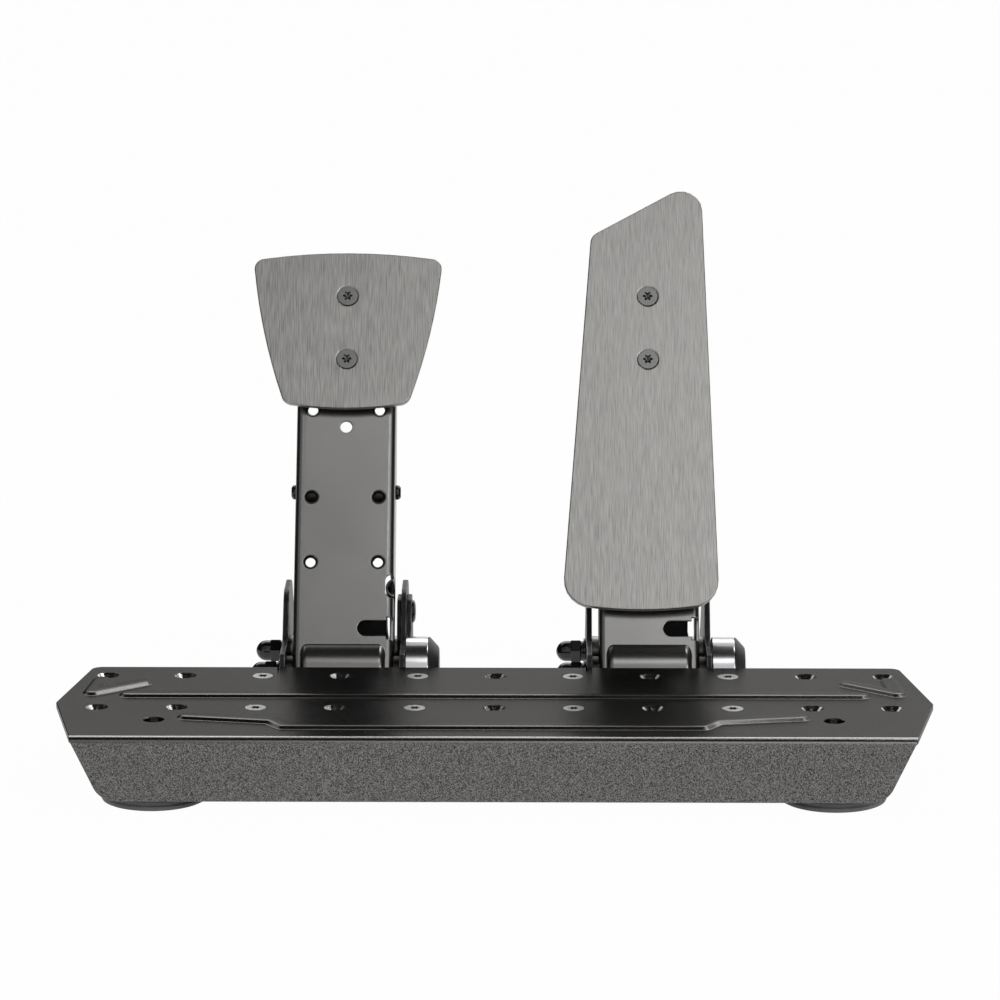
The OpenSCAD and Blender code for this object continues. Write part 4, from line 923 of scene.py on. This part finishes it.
button = turned("button", [
    (2.7, -6.65), (3.0, -6.3), (3.0, 0.0), (5.0, 0.0), (5.2, 0.2), (5.2, 0.75), (4.95, 1.05),
    (4.4, 1.4), (3.7, 1.6), (3.3, 1.7),
])
hex_socket(button, head_r=3.3, flats=4.0, top=1.7, depth=1.3)
dress(
    placed("brake_side_button", button, [across(*SIDE_SCREW_AT)]),
    gloss_black, "black_hardware", "base", "brake_side_screw",
)

# Position sensors: a turned aluminium housing screwed to each frame's right wall, with a
# round board inside that reads the magnet on the shaft, and a moulded cap.

rings_group, given, gives = new_group(
    "turned_lines",
    [("Vector", "Vector", None), ("Centre", "Vector", (0, 0, 0)), ("Pitch", "Float", 0.00025)],
    ["Lines"],
)
offset = put(rings_group, "VectorMath", operation="SUBTRACT")
parts = put(rings_group, "SeparateXYZ")
square_y = put(rings_group, "Math", operation="MULTIPLY")
square = put(rings_group, "Math", operation="MULTIPLY_ADD")
radius = put(rings_group, "Math", operation="SQRT")
along = put(rings_group, "Math", operation="ADD")
turns = put(rings_group, "Math", operation="DIVIDE")
lines = put(rings_group, "TexNoise", {"Scale": 1.0, "Detail": 3.0}, noise_dimensions="1D")
wire(
    rings_group,
    (given.outputs["Vector"], offset.inputs[0]),
    (given.outputs["Centre"], offset.inputs[1]),
    (offset.outputs[0], parts.inputs[0]),
    (parts.outputs["Y"], square_y.inputs[0]),
    (parts.outputs["Y"], square_y.inputs[1]),
    (parts.outputs["Z"], square.inputs[0]),
    (parts.outputs["Z"], square.inputs[1]),
    (square_y.outputs[0], square.inputs[2]),
    (square.outputs[0], radius.inputs[0]),
    (radius.outputs[0], along.inputs[0]),
    (parts.outputs["X"], along.inputs[1]),
    (along.outputs[0], turns.inputs[0]),
    (given.outputs["Pitch"], turns.inputs[1]),
    (turns.outputs[0], lines.inputs["W"]),
    (lines.outputs[0], gives.inputs["Lines"]),
)


def turned_metal(name, colour, rough, centre):
    """Lathe-turned metal with fine rings round an axis along X."""
    material, tree, shader, at = new_finish(name)
    rings = use_group(tree, rings_group, Centre=centre)
    tone = put(tree, "MapRange", {"To Min": 0.92, "To Max": 1.06})
    gloss = put(tree, "MapRange", {"To Min": rough * 0.75, "To Max": rough * 1.3})
    wire(
        tree,
        (at, rings.inputs["Vector"]),
        (rings.outputs[0], tone.inputs["Value"]),
        (rings.outputs[0], gloss.inputs["Value"]),
        (gloss.outputs[0], shader.inputs["Roughness"]),
    )
    tint(tree, tone.outputs[0], colour, shader)
    bump(tree, rings.outputs[0], 4e-6, shader)
    shader.inputs["Metallic"].default_value = 1.0
    return material


PIVOT = (0, ROW_Y + PIVOT_Y * MM, PLATE_Z + PIN_Z * MM)
HOUSING_L = 10.6
bright_turned = turned_metal("turned_aluminium", (0.48, 0.48, 0.49), 0.20, PIVOT)
moulding = coated(
    "black_moulding", (0.020, 0.020, 0.021), 0.42, speck=0.0004, swing=0.12, depth=1e-5, wear_and_highlight_lift=0.5
)

housing = turned("housing", [
    (5.5, 0.0), (15.9, 0.0), (16.5, 0.5), (16.5, 9.9), (16.3, 10.4), (15.9, 10.6), (13.9, 10.6),
    (13.9, 7.8), (12.9, 7.8), (12.9, 2.0), (5.5, 2.0), (5.5, 0.0),
], 96, bored=True)
cap = turned("cap", [
    (0.05, 1.1), (9.4, 1.1), (9.6, -0.8), (13.7, -1.1), (13.85, 0.0), (16.2, 0.0), (16.35, 0.25),
    (16.2, 0.7), (12.2, 4.35), (11.4, 4.8), (10.6, 4.9), (0.05, 4.9),
], 96)
for side, pedal_x in PEDALS:
    x = pedal_x + FRAME_HALF
    dress(
        placed(side + "_sensor_shell", housing, [across(x, PIVOT_Y, PIN_Z)], keep=True),
        bright_turned, "turned_aluminium", "base", side + "_sensor_housing",
    )
    dress(
        placed(side + "_sensor_lid", cap, [across(x + HOUSING_L, PIVOT_Y, PIN_Z)], keep=True),
        moulding, "black_moulding", "base", side + "_sensor_cap",
    )
bpy.data.objects.remove(housing)
bpy.data.objects.remove(cap)
repaint(zinc, "sensor_screws")

board, tree, shader, at = new_finish("circuit_board")
tracks = put(tree, "TexBrick", {
    "Color1": (0.012, 0.10, 0.04, 1), "Color2": (0.016, 0.13, 0.05, 1),
    "Mortar": (0.03, 0.22, 0.09, 1), "Mortar Size": 0.00016, "Scale": 1.0,
    "Brick Width": 0.0042, "Row Height": 0.0014,
})
wire(tree, (at, tracks.inputs["Vector"]), (tracks.outputs["Color"], shader.inputs["Base Color"]))
bump(tree, tracks.outputs["Fac"], 2e-5, shader)
shader.inputs["Roughness"].default_value = 0.35
repaint(board, "sensor_boards")

# Pedal arms: channels of 1.8 mm sheet folded over their front face, with a bulge pressed
# round the pivot, paired holes, a slot that opens at the right bend and a bead below
# an oval window. A steel cross tube is welded inside, and the coat is a satin grey.

arm_coat = coated(
    "arm_coat", (0.180, 0.178, 0.173), 0.24, metal=0.95, swing=0.05, depth=6e-6, wear_and_highlight_lift=0.35
)
ground_steel = turned_metal("ground_steel", (0.45, 0.45, 0.46), 0.25, PIVOT)

REST_LEAN = math.radians(31)
ARM_FRONT = 12
ARM_HOLES = [(x, z) for x in (-15.5, 15.5) for z in (49.4, 80.9, 123.5)]


def on_arm(x, y, z):
    """Place on an arm at rest: y behind the pivot's axis and z up the arm."""
    return Matrix.Rotation(-REST_LEAN, 4, "X") @ Matrix.Translation((x * MM, y * MM, z * MM))


def ahead(pedal_x, x, y, z):
    """Turns a piece made on Z to point ahead of a resting arm, at a place on it."""
    on_pedal = at_mm(pedal_x, PIVOT_Y, PIN_Z) @ on_arm(x, y, z)
    return on_pedal @ Matrix.Rotation(math.pi / 2, 4, "X")


collar = turned("collar", [
    (3.3, -1.7), (3.3, -0.1), (3.15, 0.0), (3.0, 0.0), (2.4, -0.7), (2.3, -0.9), (2.3, -1.7),
    (3.3, -1.7),
], 40, bored=True)
for side, x in PEDALS:
    refinished(side + "_arm", "_sheet", 0.55, arm_coat, "arm_sheet", side + "_pedal")
    dress(
        placed(side + "_arm_collars", collar, [
            ahead(x, hole_x, -ARM_FRONT, z) for hole_x, z in ARM_HOLES
        ], keep=True),
        gloss_black, "black_hardware", side + "_pedal",
    )
    repaint(ground_steel, side + "_cross_tube", side + "_shaft", side + "_magnet")
bpy.data.objects.remove(collar)

# Pivot nuts: each shaft ends on the left in a washer, a lock washer and a domed acorn
# nut, all blackened and oiled.

ACORN_TURN = math.radians(14)
washer = turned("washer", [
    (3.2, 0.1), (3.3, 0.0), (5.85, 0.0), (6.0, 0.15), (6.0, 0.95), (5.85, 1.1), (3.3, 1.1),
    (3.2, 1.0), (3.2, 0.1),
], bored=True)
lock_washer = turned("lock_washer", [
    (3.2, 1.15), (4.6, 1.15), (4.7, 1.25), (4.7, 2.05), (4.6, 2.15), (3.2, 2.15), (3.2, 1.15),
], bored=True)
hexagon = turned("hexagon", [
    (3.0, 2.2), (5.0, 2.2), (5.77, 2.65), (5.77, 6.7), (5.2, 7.2), (4.4, 7.35), (0.05, 7.35),
], 6)
dome = turned("dome", [
    (4.75, 6.4), (4.75, 8.9), (4.72, 9.6), (4.58, 10.35), (4.30, 11.1), (3.90, 11.75),
    (3.35, 12.4), (2.65, 12.98), (1.80, 13.44), (0.95, 13.75), (0.05, 13.88),
], 64)
hexagon.data.transform(Matrix.Rotation(ACORN_TURN, 4, "Z"))
acorn = join([washer, lock_washer, hexagon, dome])


def leftwards(x, y, z):
    """Turns a piece made on Z to point to the left."""
    return at_mm(x, y, z) @ Matrix.Rotation(-math.pi / 2, 4, "Y")


SHAFT_NUT_X = FRAME_HALF + 0.1
for side, x in PEDALS:
    place = leftwards(x - SHAFT_NUT_X, PIVOT_Y, PIN_Z)
    dress(
        placed(side + "_shaft_acorn", acorn, [place], keep=True),
        gloss_black, "black_hardware", side + "_pedal", side + "_shaft_nut",
    )

# Rear bolts: one through each frame and the foot of its strut, with a hexagon-socket head
# on the right, two turned spacers inside and an acorn nut on the left.

dress(
    placed("rear_acorn_set", acorn, [
        leftwards(x - FRAME_HALF, REAR_PIN_Y, PIN_Z) for _, x in PEDALS
    ]),
    gloss_black, "black_hardware", "base", "rear_pin_nuts",
)
BOLT_SEATS = (30.7, FRAME_HALF)
bolts = []
for (_, x), head in zip(PEDALS, BOLT_SEATS):
    bolt = turned("bolt", [
        (2.6, -39.4), (2.98, -39.0), (2.98, head), (5.05, head), (5.25, head + 0.2),
        (5.25, head + 2.7), (5.0, head + 3.1), (4.6, head + 3.3),
    ])
    hex_socket(bolt, head_r=4.6, flats=4.6, top=head + 3.3, depth=2.1)
    bolts.append(placed("rear_bolt", bolt, [across(x, REAR_PIN_Y, PIN_Z)]))
rear_bolts = join(bolts)
rear_bolts.name = "rear_bolt_set"
dress(rear_bolts, gloss_black, "black_hardware", "base", "rear_pins")
repaint(zinc, "rear_spacers")

# Pedal faces: 3 mm aluminium plate, brushed along the pedal, with rounded edges. Two
# countersunk screws hold each on black spacers, with nuts inside the arm.

brush_group, given, gives = new_group(
    "brushed_lines",
    [("Vector", "Vector", None), ("Width", "Float", 0.00042), ("Length", "Float", 0.010)],
    ["Lines", "Bands"],
)
wide = put(brush_group, "Math", {0: 1.0}, operation="DIVIDE")
long = put(brush_group, "Math", {0: 1.0}, operation="DIVIDE")
scales = put(brush_group, "CombineXYZ")
drawn = put(brush_group, "VectorMath", operation="MULTIPLY")
fine = put(brush_group, "TexNoise", {"Scale": 1.0, "Detail": 1.0, "Roughness": 0.5})
strong = put(brush_group, "MapRange", {"From Min": 0.3, "From Max": 0.7})
broad = put(brush_group, "TexNoise", {"Scale": 0.16, "Detail": 1.0})
wire(
    brush_group,
    (given.outputs["Width"], wide.inputs[1]),
    (given.outputs["Length"], long.inputs[1]),
    (wide.outputs[0], scales.inputs["X"]),
    (wide.outputs[0], scales.inputs["Y"]),
    (long.outputs[0], scales.inputs["Z"]),
    (given.outputs["Vector"], drawn.inputs[0]),
    (scales.outputs[0], drawn.inputs[1]),
    (drawn.outputs[0], fine.inputs["Vector"]),
    (drawn.outputs[0], broad.inputs["Vector"]),
    (fine.outputs[0], strong.inputs["Value"]),
    (strong.outputs[0], gives.inputs["Lines"]),
    (broad.outputs[0], gives.inputs["Bands"]),
)

brushed, tree, shader, at = new_finish("brushed_plate")
BRUSHED_TONE = 0.28
FACE_EDGE_LIFT = 0.15
lean = put(tree, "Mapping", {"Rotation": (REST_LEAN, 0, 0)})
lines = use_group(tree, brush_group)
wear_and_highlight = use_group(tree, wear_and_highlight_group, Width=0.0005)
tone = put(tree, "MapRange", {"To Min": BRUSHED_TONE * 0.62, "To Max": BRUSHED_TONE * 1.38})
band = put(tree, "MapRange", {"From Min": 0.3, "From Max": 0.7, "To Min": 0.975, "To Max": 1.025})
level = put(tree, "Math", operation="MULTIPLY")
# The face's edges are lifted lighter by the edge mask: part wear, part painted edge highlight.
lift = put(tree, "Math", {1: FACE_EDGE_LIFT}, operation="MULTIPLY_ADD")
gloss = put(tree, "MapRange", {"To Min": 0.30, "To Max": 0.44})
wire(
    tree,
    (at, lean.inputs["Vector"]),
    (lean.outputs[0], lines.inputs["Vector"]),
    (at, wear_and_highlight.inputs["Vector"]),
    (lines.outputs["Lines"], tone.inputs["Value"]),
    (lines.outputs["Bands"], band.inputs["Value"]),
    (tone.outputs[0], level.inputs[0]),
    (band.outputs[0], level.inputs[1]),
    (wear_and_highlight.outputs[0], lift.inputs[0]),
    (level.outputs[0], lift.inputs[2]),
    (lines.outputs["Lines"], gloss.inputs["Value"]),
    (gloss.outputs[0], shader.inputs["Roughness"]),
)
tint(tree, lift.outputs[0], (1.02, 1.0, 0.97), shader)
bump(tree, lines.outputs["Lines"], 6e-6, shader)
shader.inputs["Metallic"].default_value = 1.0

dark_screw = coated(
    "dark_screw", (0.16, 0.16, 0.158), 0.34, metal=1.0, speck=0.0003, swing=0.08, depth=6e-6
)

FACE_SCREWS = (146.444, 177.7208)
FACE_FRONT = 18.5
FACE_NUT_BACK = 6.2
face_screw = sunk_screw("face_screw", 13.3)
face_nut = hexagon_nut("face_nut", **M5_NUT)
for side, x in PEDALS:
    refinished(side + "_face", "_plate", 0.6, brushed, "brushed_plate", side + "_pedal", 3)
    heads = placed(
        side + "_face_screw_set", face_screw,
        [ahead(x, 0, -FACE_FRONT, z) for z in FACE_SCREWS], keep=True,
    )
    backs = placed(
        side + "_face_nut_set", face_nut,
        [ahead(x, 0, -FACE_NUT_BACK, z) for z in FACE_SCREWS], keep=True,
    )
    dress(heads, dark_screw, "zinc_screws", side + "_pedal", side + "_face_screws")
    dress(backs, zinc, "zinc_screws", side + "_pedal", side + "_face_screws")
    repaint(gloss_black, side + "_face_spacers")
bpy.data.objects.remove(face_screw)
bpy.data.objects.remove(face_nut)

# Struts: behind each arm a moulded block on a pin through the arm, a steel plunger in a
# black guide sleeve, a coil spring with ground ends between two collars, and a moulded
# block on the rear bolt. The brake has the heavier spring.

STRUT_LEAN = math.radians(3.689)
LOW_SEAT = 18.0
HIGH_SEAT = 64.028
SEAT_PLAY = 0.1
SPRING_D = 27.6
GROUND_SHARE = 0.35
# Wire's diameter, turns, and the share of the length that is left with the pedal pressed
SPRINGS = {"brake": (4.0, 7, 0.821), "throttle": (2.8, 9, 0.736)}


def on_strut(x):
    """A strut's own place: its lower pin at the origin and Z along it."""
    return at_mm(x, REAR_PIN_Y, PIN_Z) @ Matrix.Rotation(-STRUT_LEAN, 4, "X")


def coil(name, turns, wire_d):
    """Round wire wound between the seats, with closed end turns ground flat."""
    radius = (SPRING_D - wire_d) / 2
    low = LOW_SEAT + SEAT_PLAY + wire_d * GROUND_SHARE
    high = HIGH_SEAT - SEAT_PLAY - wire_d * GROUND_SHARE
    end_pitch = wire_d + 0.6
    mid_pitch = (high - low - 2 * end_pitch) / (turns - 2)
    steps = 28
    shape = bpy.data.curves.new(name, "CURVE")
    shape.dimensions = "3D"
    shape.bevel_depth = wire_d / 2 * MM
    shape.bevel_resolution = 3
    shape.use_fill_caps = True
    line = shape.splines.new("POLY")
    line.points.add(turns * steps)
    for i in range(turns * steps + 1):
        t = i / steps
        if t <= 1:
            z = low + end_pitch * t
        elif t >= turns - 1:
            z = high - end_pitch * (turns - t)
        else:
            z = low + end_pitch + mid_pitch * (t - 1)
        a = 2 * math.pi * t
        line.points[i].co = (radius * MM * math.cos(a), radius * MM * math.sin(a), z * MM, 1)
    spring = bpy.data.objects.new(name, shape)
    scene.collection.objects.link(spring)
    make_active(spring)
    bpy.ops.object.convert(target="MESH")
    mode("EDIT")
    bpy.ops.mesh.select_all(action="SELECT")
    bpy.ops.mesh.remove_doubles(threshold=SAME_POINT)
    for seat, up in ((LOW_SEAT + SEAT_PLAY, -1), (HIGH_SEAT - SEAT_PLAY, 1)):
        bpy.ops.mesh.select_all(action="SELECT")
        bpy.ops.mesh.bisect(
            plane_co=(0, 0, seat * MM), plane_no=(0, 0, up), clear_outer=True, use_fill=True
        )
    bpy.ops.mesh.select_all(action="SELECT")
    bpy.ops.mesh.fill_holes(sides=0)
    bpy.ops.mesh.normals_make_consistent(inside=False)
    mode("OBJECT")
    bpy.ops.object.shade_smooth_by_angle(angle=math.radians(FLAT_ANGLE))
    return spring


plunger = turned("plunger", [
    (6.9, 32.7), (7.45, 33.2), (7.45, 36.2), (7.0, 36.7), (5.7, 36.7), (5.7, 66.9), (5.2, 67.4),
])
sleeve = turned("sleeve", [
    (0.05, 14.6), (8.6, 14.6), (9.2, 15.1), (9.2, 39.4), (8.9, 39.9), (6.6, 40.0), (6.25, 39.6),
    (6.25, 37.0), (8.0, 37.0), (8.0, 15.8), (0.05, 15.8),
], 64)
for side, x in PEDALS:
    wire_d, turns, keep = SPRINGS[side]
    pedal, low, high = side + "_pedal", side + "_strut_lower", side + "_strut_upper"
    place = on_strut(x)
    refinished(side + "_strut_foot", "_block", 0.5, moulding, "black_moulding", low)
    refinished(side + "_strut_head", "_block", 0.5, moulding, "black_moulding", high)
    dress(
        placed(side + "_guide_sleeve", sleeve, [place], keep=True),
        gloss_black, "black_hardware", low, side + "_sleeve",
    )
    dress(
        placed(side + "_plunger_rod", plunger, [place], keep=True),
        ground_steel, "bare_steel", high, side + "_plunger",
    )
    refinished(side + "_strut_pin", "_bar", 0.25, gloss_black, "black_hardware", pedal)
    spring = placed(side + "_coil_spring", coil(side + "_coil", turns, wire_d), [place])
    dress(spring, gloss_black, "black_hardware", low, side + "_spring")
    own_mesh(spring)
bpy.data.objects.remove(plunger)
bpy.data.objects.remove(sleeve)

# Control box: a moulded case and lid on a foam pad under the heel plate, between the two
# frames, with the sensors' board and a socket for the lead that faces the rear.

for node in ("box_case", "box_lid"):
    refinished(node, "_shell", 0.5, moulding, "black_moulding", "base")
refinished("box_socket", "_shell", 0.3, zinc, "turned_aluminium", "base")
foam = coated("foam_pad", (0.03, 0.03, 0.03), 0.9, speck=0.0012, swing=0.5, depth=1e-4, wear_and_highlight_lift=0.0)
repaint(foam, "box_pad")
repaint(board, "box_board")
repaint(zinc, "box_screws")
